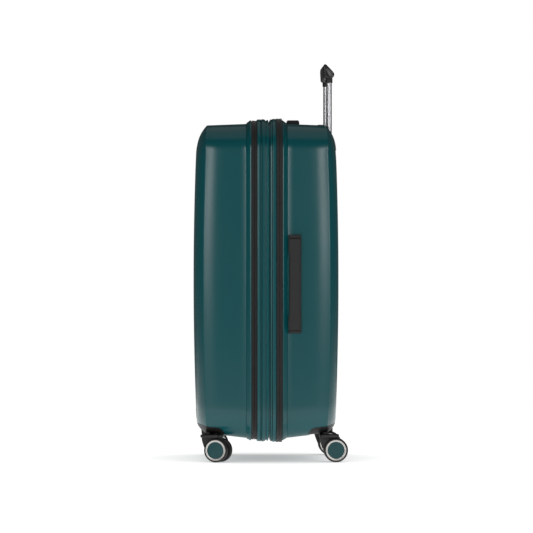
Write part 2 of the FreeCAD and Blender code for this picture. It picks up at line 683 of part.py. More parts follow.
def wheel_housing(name, side, facing, form):
    """The corner of the shell's own form between two levels, bored for the swivel stem."""
    block = doc.addObject("Part::Box", name + "_block")
    sizes = (("Length", half_width + 10 - housing_inner), ("Width", face_y + 10 - housing_near),
             ("Height", housing_top - housing_base))
    for field, size in sizes:
        setattr(block, field, number(size))
        bind(block, field, size)
    place(block, housing_inner if side > 0 else -half_width - 10,
          housing_near if facing > 0 else -face_y - 10, housing_base)
    corner = doc.addObject("Part::Common", name + "_corner")
    corner.Base, corner.Tool = form, block
    bore = doc.addObject("Part::Cylinder", name + "_bore")
    bore.Radius = number(z.stem_radius + z.pin_gap)
    bind(bore, "Radius", z.stem_radius + z.pin_gap)
    bore.Height = number(z.stem_length + 1)
    bind(bore, "Height", z.stem_length + 1)
    place(bore, side * caster_x, facing * caster_y, housing_base - 1)
    housing = doc.addObject("Part::Cut", name)
    housing.Base, housing.Tool = corner, bore
    housing.Label = name
    nodes.append(housing)


def caster(word, x, y, turn):
    """Fork, tyres, hubs and axle, trailing to +Y before the turn about the swivel axis."""
    half_space, tread = z.wheel_spacing / 2, z.wheel_width / 2
    leg = half_space - tread - 1.0
    reach = half_space + tread
    fork = new_body("caster_fork_" + word)
    pad_up(fork, fork_top - 5, fork_top,
           (rounded, -reach, -13.0, reach, z.caster_trail + 8, 8.0))
    pad_side(fork, -leg, leg, (polygon, [
        (-12.0, fork_top - 4), (-7.0, z.wheel_radius + 8), (z.caster_trail - 7, z.wheel_radius - 6),
        (z.caster_trail + 5, z.wheel_radius - 6), (z.caster_trail + 8, z.wheel_radius + 2),
        (z.caster_trail + 7, fork_top - 4)]))
    pad_up(fork, fork_top - 1, fork_top + z.stem_length, (circle, 0.0, 0.0, z.stem_radius))
    cut_side(fork, -leg - 1, leg + 1,
             (circle, z.caster_trail, z.wheel_radius, z.axle_radius + z.pin_gap))
    tyres, hubs = new_body("caster_tyres_" + word), new_body("caster_hubs_" + word)
    for side in (-1, 1):
        low = half_space - tread if side > 0 else -half_space - tread
        ring = (circle, z.caster_trail, z.wheel_radius, z.hub_radius)
        pad_side(tyres, low, low + z.wheel_width,
                 (circle, z.caster_trail, z.wheel_radius, z.wheel_radius), ring)
        pad_side(hubs, low + 0.5, low + z.wheel_width - 0.5, ring,
                 (circle, z.caster_trail, z.wheel_radius, z.axle_radius))
    axle = new_body("caster_axle_" + word)
    pad_side(axle, 0.8 - reach, reach - 0.8,
             (circle, z.caster_trail, z.wheel_radius, z.axle_radius))
    for body in (fork, tyres, hubs, axle):
        place(body, x, y, 0.0, turn)


FRONT_RIGHT_TURN = -17.0   # this caster stands turned, as casters come to rest
for facing, depth_word in ((-1, "front"), (1, "rear")):
    form = shell_solid(depth_word + "_form", facing)
    for side, side_word in ((-1, "left"), (1, "right")):
        word = f"{depth_word}_{side_word}"
        wheel_housing("wheel_housing_" + word, side, facing, form)
        turned = FRONT_RIGHT_TURN if word == "front_right" else 0.0
        caster(word, side * caster_x, facing * caster_y, turned)


# ---------------------------------------------------------------- checks and export
doc.recompute()
faults = [f"{item.Label}: {item.State}" for item in doc.Objects
          if "Invalid" in item.State or "Error" in item.State]
for node in nodes:
    if node.Shape.isNull() or not node.Shape.isValid() or not node.Shape.Solids:
        faults.append(f"{node.Label}: no valid shape")
if faults:
    raise RuntimeError("; ".join(faults))

os.makedirs("parts", exist_ok=True)
for node in nodes:
    node.Shape.exportStep(f"parts/{node.Label}.step")
    print(f"{node.Label}: {len(node.Shape.Solids)} solids, {node.Shape.Volume / 1000:.1f} cm3")
print(len(nodes), "nodes")
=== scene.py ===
import json
import math

import bmesh
import bpy
from bpy.props import FloatProperty, FloatVectorProperty, PointerProperty
from mathutils import Matrix, Vector, noise


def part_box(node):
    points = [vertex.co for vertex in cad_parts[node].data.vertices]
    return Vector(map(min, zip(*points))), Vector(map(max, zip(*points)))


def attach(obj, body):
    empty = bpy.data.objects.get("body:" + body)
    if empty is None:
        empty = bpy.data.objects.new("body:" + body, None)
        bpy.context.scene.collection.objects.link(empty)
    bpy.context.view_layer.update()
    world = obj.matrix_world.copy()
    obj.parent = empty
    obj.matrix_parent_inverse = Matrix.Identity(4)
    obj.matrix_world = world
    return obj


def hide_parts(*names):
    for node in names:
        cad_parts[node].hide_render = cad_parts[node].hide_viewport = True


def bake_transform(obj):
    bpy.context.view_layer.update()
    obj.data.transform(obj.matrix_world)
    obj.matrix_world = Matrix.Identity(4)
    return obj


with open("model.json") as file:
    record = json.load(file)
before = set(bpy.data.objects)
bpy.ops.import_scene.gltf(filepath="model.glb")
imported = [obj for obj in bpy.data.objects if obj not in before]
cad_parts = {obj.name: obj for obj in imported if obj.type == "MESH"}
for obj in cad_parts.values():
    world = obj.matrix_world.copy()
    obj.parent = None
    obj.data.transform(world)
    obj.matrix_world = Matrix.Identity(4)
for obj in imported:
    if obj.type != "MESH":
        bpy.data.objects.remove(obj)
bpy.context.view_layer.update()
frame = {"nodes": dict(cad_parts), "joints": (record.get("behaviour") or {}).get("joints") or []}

bl_info = {
    "name": "Hard shell suitcase",
    "version": (1, 0, 0),
    "blender": (4, 5, 0),
    "location": "View3D > Sidebar > Suitcase",
    "description": "Builds the visible pieces of a hard shell suitcase round its packed frame",
    "category": "Object",
}

MM = 0.001
SIDES = ((-1, "left"), (1, "right"))
CASTERS = ("front_left", "front_right", "rear_left", "rear_right")
JOINTS = {joint["name"]: joint for joint in frame["joints"]}


def node_box(node):
    low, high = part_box(node)
    return Vector(low), Vector(high)


def middle_of(node):
    low, high = node_box(node)
    return (low + high) / 2


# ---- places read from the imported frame
BAND_LOW, BAND_HIGH = node_box("expander_zip_rear")
HALF_WIDTH, BASE, TOP, RIM_Y = BAND_HIGH.x, BAND_LOW.z, BAND_HIGH.z, BAND_HIGH.y
MIDDLE = (BASE + TOP) / 2
SHELL_DEPTH = -node_box("front_shell")[0].y - RIM_Y
FRAME_HALF = node_box("middle_frame")[1].y
ZIP_MIDDLE = (RIM_Y + FRAME_HALF) / 2


# ---- sizes and colours a user would change
def length(name, description, default):
    return FloatProperty(name=name, description=description, default=default, unit="LENGTH", precision=4)


def colour(name, description, hex_value):
    return FloatVectorProperty(name=name, description=description, default=linear(hex_value), size=4,
                               subtype="COLOR", min=0.0, max=1.0)


def linear(hex_value):
    """An sRGB hex value as a linear colour with alpha."""
    parts = [int(hex_value[i:i + 2], 16) / 255 for i in (0, 2, 4)]
    return tuple(v / 12.92 if v <= 0.04045 else ((v + 0.055) / 1.055) ** 2.4 for v in parts) + (1.0,)


class SuitcaseSizes(bpy.types.PropertyGroup):
    corner_radius: length("Corner radius", "Corners of the zip bands, seen from the front", 75 * MM)
    wall: length("Shell wall", "Thickness of the moulded shells", 3 * MM)
    edge_radius: length("Edge radius", "Arc from the crease to the face", 78 * MM)
    crown: length("Crown", "How far each face bulges", 5.7 * MM)
    flute_depth: length("Flute depth", "Shallow upright flutes in the faces", 1.6 * MM)
    weave_pitch: length("Weave pitch", "Ribs of the zip tape and webbing", 0.8 * MM)


class SuitcaseColours(bpy.types.PropertyGroup):
    shell: colour("Shell", "Moulded polypropylene", "005257")
    black: colour("Black mouldings", "ABS of the guards, housings and forks", "131212")
    soft_black: colour("Handles", "Soft thermoplastic of the carry handles", "0e0d0e")
    tape: colour("Zip tape", "Woven polyester", "1d1b1b")
    lining: colour("Lining", "Woven polyester inside the case", "4a5052")
    silver: colour("Wheel rings", "Silver lacquered rings of the wheels", "d6d3cf")


# ---- materials
def new_tree(owner):
    owner.use_nodes = True
    owner.node_tree.nodes.clear()
    return owner.node_tree


def add_node(tree, kind, settings=(), values=(), links=()):
    node = tree.nodes.new("ShaderNode" + kind)
    for name, value in dict(settings).items():
        setattr(node, name, value)
    for socket, value in dict(values).items():
        node.inputs[socket].default_value = value
    for socket, source in dict(links).items():
        tree.links.new(source, node.inputs[socket])
    return node


def new_material(name, base, roughness, grain, grain_mm, depth_mm, uneven=0.12, spread=0.05, **sockets):
    """A surface with a fine grain, slightly uneven colour and gloss.

    grain is "noise" for moulded surfaces, "weave" for cloth or "brushed" for drawn metal.
    """
    material = bpy.data.materials.new(name)
    tree = new_tree(material)
    place = add_node(tree, "TexCoord").outputs["Object"]
    cloud = add_node(tree, "TexNoise", values={"Scale": 9.0, "Detail": 3.0}, links={"Vector": place})
    shade = tuple(v * (1 - uneven) for v in base[:3]) + (1.0,)
    mix = add_node(tree, "Mix", {"data_type": "RGBA"}, {6: base, 7: shade},
                   {0: cloud.outputs["Fac"]})
    rough = add_node(tree, "MapRange", links={"Value": cloud.outputs["Fac"]}, values={
        "To Min": roughness - spread, "To Max": roughness + spread})
    per_metre = 1000.0 / grain_mm
    if grain == "weave":
        warp, weft = (add_node(tree, "TexWave", {"bands_direction": way, "wave_profile": "SIN"},
                               {"Scale": per_metre / (2 * math.pi), "Distortion": 0.6},
                               {"Vector": place}) for way in ("DIAGONAL", "Z"))
        height = add_node(tree, "Math", {"operation": "MULTIPLY"}, links={
            0: warp.outputs["Fac"], 1: weft.outputs["Fac"]}).outputs[0]
    elif grain == "brushed":
        stretch = add_node(tree, "Mapping", values={"Scale": (per_metre, per_metre, per_metre / 60)},
                           links={"Vector": place})
        height = add_node(tree, "TexNoise", values={"Scale": 1.0, "Detail": 2.0},
                          links={"Vector": stretch.outputs["Vector"]}).outputs["Fac"]
    else:
        height = add_node(tree, "TexNoise", values={"Scale": per_metre, "Detail": 2.0},
                          links={"Vector": place}).outputs["Fac"]
    bump = add_node(tree, "Bump", values={"Strength": 1.0, "Distance": depth_mm * MM},
                    links={"Height": height})
    shader = add_node(tree, "BsdfPrincipled", values=sockets, links={
        "Base Color": mix.outputs[2], "Roughness": rough.outputs[0], "Normal": bump.outputs["Normal"]})
    add_node(tree, "OutputMaterial", links={"Surface": shader.outputs[0]})
    return material


def material_set(colours, pitch):
    """Every finish of the case, by what it is made of and how its surface was made."""
    mats = {}
    # Injection moulded polypropylene: satin, its spark-eroded grain breaks highlights into a soft sheen.
    mats["shell"] = new_material("moulded_polypropylene", colours.shell, 0.25, "noise", 0.9, 0.006,
                                 spread=0.03, **{"IOR": 1.49, "Specular IOR Level": 0.5})
    # The bead is the same plastic from a polished tool, so it catches a sharper light; its colour is the
    # shell's made half again as light, a painted highlight.
    bead = tuple(v * 1.5 for v in colours.shell[:3]) + (1.0,)
    mats["bead"] = new_material("polished_polypropylene_painted_highlight", bead, 0.22, "noise", 2.0, 0.005,
                                **{"IOR": 1.49})
    # Moulded ABS with a fine grain: dark and dull, so guards and forks stay in the background.
    mats["black"] = new_material("grained_abs", colours.black, 0.48, "noise", 0.7, 0.02, **{"IOR": 1.53})
    # The same ABS from a polished tool: the grip and the lock carry a narrow bright line.
    mats["gloss_black"] = new_material("polished_abs", colours.black, 0.25, "noise", 1.5, 0.006,
                                       **{"IOR": 1.53})
    # Soft touch thermoplastic: wide dull sheen, a little lighter on the edges.
    mats["soft"] = new_material("soft_touch_elastomer", colours.soft_black, 0.58, "noise", 0.5, 0.02,
                                **{"IOR": 1.5, "Sheen Weight": 0.15, "Sheen Roughness": 0.5})
    # Woven polyester tape, drawn as coarse as it needs to show.
    mats["tape"] = new_material("woven_zip_tape", colours.tape, 0.78, "weave", pitch * 1000, 0.16,
                                **{"Sheen Weight": 0.35, "Sheen Roughness": 0.4})
    # Polyester webbing, ribbed three times as coarsely as the tape: a soft matt band.
    mats["webbing"] = new_material("woven_webbing", colours.tape, 0.8, "weave", pitch * 2400, 0.3,
                                   **{"Sheen Weight": 0.3, "Sheen Roughness": 0.4})
    # Plain woven lining: matt grey with a faint sheen where it folds.
    mats["lining"] = new_material("plain_woven_polyester", colours.lining, 0.7, "weave", pitch * 1300,
                                  0.1, uneven=0.2, **{"Sheen Weight": 0.4, "Sheen Roughness": 0.35})
    # Zinc die casting with a dark nickel plate: sliders and pulls glint against the tape.
    mats["zinc"] = new_material("dark_nickel_zinc", linear("55565a"), 0.3, "noise", 1.2, 0.01,
                                Metallic=1.0)
    # Turned steel of axles and rods: plain grey metal with a soft highlight.
    mats["steel"] = new_material("turned_steel", linear("a9aaac"), 0.3, "noise", 0.4, 0.01, Metallic=1.0)
    # Bright anodised aluminium, drawn along the tube: clean silver, its lines too fine to see.
    mats["aluminium"] = new_material("bright_anodised_aluminium", linear("dcdde0"), 0.3, "brushed", 0.35,
                                     0.00002, uneven=0.03, spread=0.03, Metallic=1.0)
    # Polyurethane tread: dark, smooth, slightly waxy.
    mats["tyre"] = new_material("cast_polyurethane", linear("171516"), 0.5, "noise", 1.0, 0.03,
                                **{"IOR": 1.5})
    # Silver lacquer over ABS: pale, with a soft metal glow.
    mats["ring"] = new_material("silver_lacquer", colours.silver, 0.38, "noise", 0.5, 0.01,
                                Metallic=0.75)
    # Stippled polypropylene: the wheel caps look like the shell, but duller and a little darker.
    hub = tuple(v * 0.85 for v in colours.shell[:3]) + (1.0,)
    mats["hub"] = new_material("stippled_polypropylene", hub, 0.5, "noise", 1.4, 0.12, uneven=0.3,
                               **{"IOR": 1.49})
    return mats


MATERIALS = {}


# ---- mesh helpers
def new_piece(name, points, faces, material, body, replaces=(), slot=None, sharp=35.0, matrix=None):
    mesh = bpy.data.meshes.new(name)
    mesh.from_pydata([tuple(p) for p in points], [], faces)
    work = bmesh.new()
    work.from_mesh(mesh)
    bmesh.ops.remove_doubles(work, verts=work.verts, dist=1e-6)
    bmesh.ops.recalc_face_normals(work, faces=work.faces)
    work.to_mesh(mesh)
    work.free()
    if matrix is not None:
        mesh.transform(matrix)
        if matrix.determinant() < 0:
            mesh.flip_normals()
    piece = bpy.data.objects.new(name, mesh)
    bpy.context.scene.collection.objects.link(piece)
    return finish_piece(piece, material, body, replaces, sharp)


def finish_piece(piece, material, body, replaces=(), sharp=35.0):
    mesh = piece.data
    mesh.materials.clear()
    mesh.materials.append(MATERIALS[material])
    mesh.polygons.foreach_set("use_smooth", [True] * len(mesh.polygons))
    mesh.set_sharp_from_angle(angle=math.radians(sharp))
    if body:
        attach(piece, body)
    if replaces:
        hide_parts(*replaces)
    return piece


def dress(node, material):
    """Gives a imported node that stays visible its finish."""
    mesh = frame["nodes"][node].data
    mesh.materials.clear()
    mesh.materials.append(MATERIALS[material])


def scaled(pairs):
    """Pairs of millimetres in metres."""
    return [(a * MM, b * MM) for a, b in pairs]


def grid_faces(rows, columns, closed=True, first=0, looped=False):
    """Quads between rows of equally many points.

    closed joins the last column to the first, and looped the last row to the first.
    """
    faces = []
    for row in range(rows if looped else rows - 1):
        for column in range(columns if closed else columns - 1):
            after = (column + 1) % columns
            a, b = first + row * columns, first + (row + 1) % rows * columns
            faces.append((a + column, a + after, b + after, b + column))
    return faces


def end_faces(rows, columns):
    """The flat ends of a run of closed rows."""
    last = (rows - 1) * columns
    return [tuple(range(columns)), tuple(last + i for i in reversed(range(columns)))]


def case_ring(inset, radius, detail, low=None, high=None):
    """(x, z, side) points round the case's front outline, from the middle of the -X side upwards.

    side is 1 on the upright sides and 0 on the top and bottom.
    """
    low = inset if low is None else low
    high = inset if high is None else high
    reach, bottom, top = HALF_WIDTH - inset, BASE + low, TOP - high
    middle = (bottom + top) / 2
    radius = max(min(radius, reach, middle - bottom), 0.0)
    upright, level, bend = detail
    points = []
    for step in range(upright // 2):
        points.append((-reach, middle + (top - radius - middle) * step / (upright // 2), 1.0))
    corners = ((-1, top, 180, level), (1, top, 90, upright), (1, bottom, 0, level), (-1, bottom, -90, 0))
    for side, edge, start, run in corners:
        centre = (side * (reach - radius), edge - math.copysign(radius, edge - middle))
        for step in range(bend + 1):
            angle = math.radians(start - 90 * step / bend)
            share = abs(math.cos(angle)) ** 2
            points.append((centre[0] + radius * math.cos(angle), centre[1] + radius * math.sin(angle),
                           share))
        end = points[-1]
        for step in range(1, run):
            part = step / run
            if run == level:
                goal = -side * (reach - radius) if edge == bottom else (reach - radius)
                points.append((end[0] + (goal - end[0]) * part, end[1], 0.0))
            else:
                points.append((end[0], end[1] + (bottom + radius - end[1]) * part, 1.0))
    for step in range(1, upright // 2 + 1):
        part = step / (upright // 2)
        points.append((-reach, bottom + radius + (middle - bottom - radius) * part, 1.0))
    return points[:-1]


BAND_DETAIL = (24, 16, 16)
SHELL_DETAIL = (56, 40, 14)


def band(name, profile, material, body, replaces, slot=None, gap=0.0, sharp=40.0):
    """Sweeps a closed (y, inset) profile round the case; gap leaves the middle of -X open."""
    sizes = bpy.context.scene.suitcase_sizes
    rings = []
    for y, inset in profile:
        ring = case_ring(inset, sizes.corner_radius - inset, BAND_DETAIL)
        if gap:
            ring = [p for p in ring if not (p[0] < 0 and p[2] == 1.0 and abs(p[1] - MIDDLE) < gap / 2)]
            x = inset - HALF_WIDTH
            ring = [(x, MIDDLE + gap / 2, 1.0)] + ring + [(x, MIDDLE - gap / 2, 1.0)]
        rings.append([(x, y, z) for x, z, _ in ring])
    count = len(rings[0])
    points = [p for ring in rings for p in ring]
    faces = grid_faces(len(rings), count, closed=not gap, looped=True)
    if gap:
        faces += [tuple(r * count for r in range(len(rings))),
                  tuple(r * count + count - 1 for r in reversed(range(len(rings))))]
    return new_piece(name, points, faces, material, body, replaces, slot, sharp)


def lathe(name, profile, material, body, matrix, segments, replaces=(), slot=None):
    """Turns a closed (along, radius) profile about local X."""
    points = []
    for step in range(segments):
        angle = 2 * math.pi * step / segments
        points += [(x, r * math.cos(angle), r * math.sin(angle)) for x, r in profile]
    faces = grid_faces(segments, len(profile), looped=True)
    return new_piece(name, points, faces, material, body, replaces, slot, matrix=matrix)


def rounded_outline(points, radius, steps=4):
    """Rounds the corners of a flat polygon; radius is one number or one per corner."""
    result, count = [], len(points)
    radii = radius if isinstance(radius, (list, tuple)) else [radius] * count
    for i, corner in enumerate(points):
        here = Vector(corner)
        back, on = Vector(points[i - 1]) - here, Vector(points[(i + 1) % count]) - here
        cut = min(radii[i], back.length * 0.49, on.length * 0.49)
        start, end = here + back.normalized() * cut, here + on.normalized() * cut
        if cut < 1e-6:
            result.append(here)
            continue
        for step in range(steps + 1):
            t = step / steps
            result.append(start * (1 - t) ** 2 + here * (2 * t * (1 - t)) + end * t ** 2)
    return [tuple(p) for p in result]


def prism(name, outline, low, high, material, body, along="x", rim=0.0, **options):
    """Extrudes an outline between low and high along an axis; rim rounds its two end edges."""
    count = len(outline)
    area = sum(outline[i - 1][0] * outline[i][1] - outline[i][0] * outline[i - 1][1]
               for i in range(count))
    inwards = 1.0 if area > 0 else -1.0
    stations = [(low, 0.0), (high, 0.0)]
    if rim:
        turns = [math.radians(a) for a in (0, 30, 60, 90)]
        stations = [(low + rim * (1 - math.cos(a)), rim * (1 - math.sin(a))) for a in turns]
        stations += [(high - rim * (1 - math.cos(a)), rim * (1 - math.sin(a))) for a in reversed(turns)]
    points = []
    for place, pull in stations:
        for i, p in enumerate(outline):
            spot = Vector(p)
            if pull:
                before, after = Vector(outline[i - 1]), Vector(outline[(i + 1) % count])
                normal = Vector((-(after - before).y, (after - before).x)).normalized()
                spot = spot + normal * pull * inwards
            u, v = spot
            points.append({"x": (place, u, v), "y": (u, place, v), "z": (u, v, place)}[along])
    faces = grid_faces(len(stations), count) + end_faces(len(stations), count)
    return new_piece(name, points, faces, material, body, **options)


def box_outline(x0, y0, x1, y1, radius=0.0):
    return rounded_outline([(x0, y0), (x1, y0), (x1, y1), (x0, y1)], radius)


def circle_outline(centre, radius, sides=40):
    turns = [2 * math.pi * side / sides for side in range(sides)]
    return [(centre.x + radius * math.cos(turn), centre.y + radius * math.sin(turn)) for turn in turns]


def carve(piece, outline, low, high, along="x", matrix=None, operation="DIFFERENCE"):
    """Cuts a block of that outline out of a piece, or keeps only what lies inside the block."""
    block = prism("block", outline, low, high, "black", None, along, matrix=matrix)
    boolean = piece.modifiers.new("carve", "BOOLEAN")
    boolean.operation, boolean.object, boolean.solver = operation, block, "EXACT"
    bpy.context.view_layer.update()
    graph = bpy.context.evaluated_depsgraph_get()
    mesh = bpy.data.meshes.new_from_object(piece.evaluated_get(graph))
    piece.modifiers.clear()
    piece.data = mesh
    bpy.data.objects.remove(block, do_unlink=True)


# ---- shells
CREASE_INSET, FOOT_INSET, FOOT_RADIUS = 15.8 * MM, 20 * MM, 42 * MM
WAIST_DEPTH, WAIST_SIDE, WAIST_TOP, WAIST_FOOT = 12.5 * MM, 10.5 * MM, 12.6 * MM, 10 * MM
SIDE_SWELL, SWELL_RUN, SIDE_SHIFT = 3.4 * MM, 32 * MM, 3.5 * MM
HALF_SINE = math.sin(math.radians(45))
FACE_STEP, FACE_MARGIN = 3.5 * MM, 70 * MM
# Rolled rim of a shell up to its waist as (depth, inset) in mm, the shares of the wall from the waist to
# the crease at which it is divided, and the angles at which the arc to the face is.
RIM = ((0.0, 5.4), (0.2, 4.6), (1.0, 4.3), (2.6, 4.6), (3.2, 5.2), (9.4, 8.6), (10.4, 9.6), (10.9, 10.6),
       (11.6, 10.9), (12.1, 10.4))
RIM_INSET = 4.6
WALL_SHARES = (0.0, 0.15, 0.3, 0.45, 0.58, 0.7, 0.78, 0.85, 0.9, 0.94, 0.97, 0.988)
ARC_ANGLES = (44.3, 42, 38, 34, 30, 25, 20, 15, 10, 5, 0)
FLUTES = [x * MM for x in (-150, -90, -30, 30, 90, 150)]
FLUTE_HALF, FLUTE_FADE = 9 * MM, 25 * MM
# Wheel housing and the gap for it in the shell, seen from the side as (y, z) in mm.
HOUSING_RIDGE = ((99, 73), (106, 77.6), (131, 80), (146, 84))
HOUSING = ((92.5, 62.8),) + HOUSING_RIDGE + ((170, 92), (170, 69), (147, 66), (138, 62.8))
HOUSING_GAP = ((92.1, 32.8),) + HOUSING_RIDGE + ((180, 94), (180, 69), (180, 32.8), (138, 32.8))
HOUSING_LENGTH, HOUSING_PROUD = 110 * MM, 0.3 * MM


def shell_rows(sizes):
    """Rows of (depth, side inset, top inset, bottom inset, radius, crown share, side shift)."""
    rows = []
    corner = sizes.corner_radius
    for depth, inset in RIM:
        extra = max(0.0, inset - RIM_INSET) / 6 * MM
        inset *= MM
        rows.append((depth * MM, inset, inset + extra * 2, inset - extra * 0.5, corner - inset, 0.0, 0.0))
    crease_depth = SHELL_DEPTH - sizes.crown - sizes.edge_radius * (1 - HALF_SINE)
    for part in WALL_SHARES:
        depth = WAIST_DEPTH + (crease_depth - WAIST_DEPTH) * part
        swell = max(0.0, (depth - crease_depth + SWELL_RUN) / SWELL_RUN) ** 2
        side = WAIST_SIDE + (CREASE_INSET - WAIST_SIDE - SIDE_SWELL + 1 * MM) * part + SIDE_SWELL * swell
        top = WAIST_TOP + (CREASE_INSET - WAIST_TOP) * part
        foot = WAIST_FOOT + (FOOT_INSET - WAIST_FOOT) * part
        rows.append((depth, side, top, foot, corner - side, part ** 2, part ** 2))
    arc_end = CREASE_INSET + sizes.edge_radius * HALF_SINE
    foot_end = FOOT_INSET + FOOT_RADIUS * HALF_SINE
    for angle in ARC_ANGLES:
        along, across = math.cos(math.radians(angle)), math.sin(math.radians(angle))
        depth = SHELL_DEPTH - sizes.crown - sizes.edge_radius * (1 - along)
        inset = arc_end - sizes.edge_radius * across
        rows.append((depth, inset, inset, foot_end - FOOT_RADIUS * across,
                     corner - CREASE_INSET - 16 * MM * (1 - angle / 45) ** 1.5, 1.0, (angle / 45) ** 1.5))
    face_depth, radius = rows[-1][0], rows[-1][4]
    inset = arc_end
    while inset < HALF_WIDTH - FACE_STEP:
        inset += FACE_STEP
        part = (inset - arc_end) / (HALF_WIDTH - arc_end)
        foot = foot_end + (inset - arc_end)
        rows.append((face_depth, inset, inset, foot, radius * (1 - part), 1.0, 0.0))
    rows.append((face_depth, HALF_WIDTH, HALF_WIDTH, foot_end + HALF_WIDTH - arc_end, 0.0, 1.0, 0.0))
    return rows


def shell_surface(sizes, facing, wall, fluted):
    """Rows of points of a shell, its outer skin or, with a wall, its inner one."""
    surface = []
    rows = shell_rows(sizes)
    half_face = (TOP - BASE) / 2 - FACE_MARGIN
    arc_end = CREASE_INSET + sizes.edge_radius * HALF_SINE
    for depth, side, top, foot, radius, crown, shift in rows:
        if wall:
            depth = max(depth - wall * crown, 0.0)
            side, top, foot = (min(v + wall, HALF_WIDTH) for v in (side, top, foot))
            radius = max(radius - wall, 0.0)
        ring = []
        for x, z, flank in case_ring(side, radius, SHELL_DETAIL, foot, top):
            bulge = max(0.0, 1 - ((z - MIDDLE) / half_face) ** 2) * sizes.crown * crown
            y = RIM_Y + depth + bulge + SIDE_SHIFT * shift * flank
            if fluted and side > arc_end - 5 * MM:
                nearest = min(abs(x - flute) for flute in FLUTES)
                ends = min(1.0, max(0.0, (half_face - abs(z - MIDDLE)) / FLUTE_FADE))
                if nearest < FLUTE_HALF:
                    y -= sizes.flute_depth * math.cos(nearest / FLUTE_HALF * math.pi / 2) ** 2 * ends
            ring.append((x, facing * y, z))
        surface.append(ring)
    return surface


def shell_mesh(name, facing, material, body, replaces, fluted=True):
    sizes = bpy.context.scene.suitcase_sizes
    outer = shell_surface(sizes, facing, 0.0, fluted)
    inner = shell_surface(sizes, facing, sizes.wall, False)
    rings = list(reversed(outer)) + inner
    points = [p for ring in rings for p in ring]
    return new_piece(name, points, grid_faces(len(rings), len(rings[0])), material, body, replaces,
                     sharp=28.0)


class SUITCASE_OT_shells(bpy.types.Operator):
    """Moulds the two shells and the housings over their lower corners"""
    bl_idname = "suitcase.shells"
    bl_label = "Shells and wheel housings"

    def execute(self, context):
        for facing, word, body in ((-1, "front", "front_case"), (1, "rear", "rear_case")):
            shell = shell_mesh(f"{word}_shell_moulding", facing, "shell", body, (f"{word}_shell",))
            solid, gap = (scaled((facing * y, z) for y, z in line) for line in (HOUSING, HOUSING_GAP))
            for side, side_word in SIDES:
                span = sorted((side * (HALF_WIDTH - HOUSING_LENGTH), side * (HALF_WIDTH + 20 * MM)))
                housing = shell_mesh(f"housing_{word}_{side_word}", facing, "black", body,
                                     (f"wheel_housing_{word}_{side_word}",), False)
                solid_form(housing)
                carve(housing, solid, *span, operation="INTERSECT")
                finish_piece(housing, "black", None)
                carve(shell, gap, *span)
            if word == "rear":
                low, high = node_box("handle_bezel")
                carve(shell, box_outline(low.y, low.z, high.y + 0.05, high.z + 0.05), low.x, high.x)
            finish_piece(shell, "shell", None, sharp=28.0)
        return {"FINISHED"}


def solid_form(piece):
    """Drops a shell's inner skin and closes its rim, which leaves the filled form, a little proud."""
    work = bmesh.new()
    work.from_mesh(piece.data)
    seen, stack = set(), [max(work.verts, key=lambda v: abs(v.co.y) + abs(v.co.x))]
    while stack:
        vertex = stack.pop()
        if vertex.index in seen:
            continue
        seen.add(vertex.index)
        stack += [edge.other_vert(vertex) for edge in vertex.link_edges if rim_side(edge)]
    bmesh.ops.delete(work, geom=[v for v in work.verts if v.index not in seen], context="VERTS")
    bmesh.ops.holes_fill(work, edges=[e for e in work.edges if e.is_boundary], sides=0)
    bmesh.ops.recalc_face_normals(work, faces=work.faces)
    for vertex in work.verts:
        vertex.co += vertex.normal * HOUSING_PROUD
    work.to_mesh(piece.data)
    work.free()


def rim_side(edge):
    """False for the short edges that cross the rim from the outer skin to the inner one."""
    a, b = edge.verts
    flat = abs(abs(a.co.y) - RIM_Y) < 1e-5 and abs(abs(b.co.y) - RIM_Y) < 1e-5
    if not flat:
        return True
    return abs((a.co - b.co).length - bpy.context.scene.suitcase_sizes.wall) > 0.6 * MM


# ---- zips, frame, gusset
# Zip tape from its sewn edge to the seam, as (share of its width, drop in mm).
TAPE = ((0, 2.2), (0, 0.5), (0.08, 0.1), (0.2, 0.3), (0.24, 0.05), (0.75, 0), (0.9, 0.35))


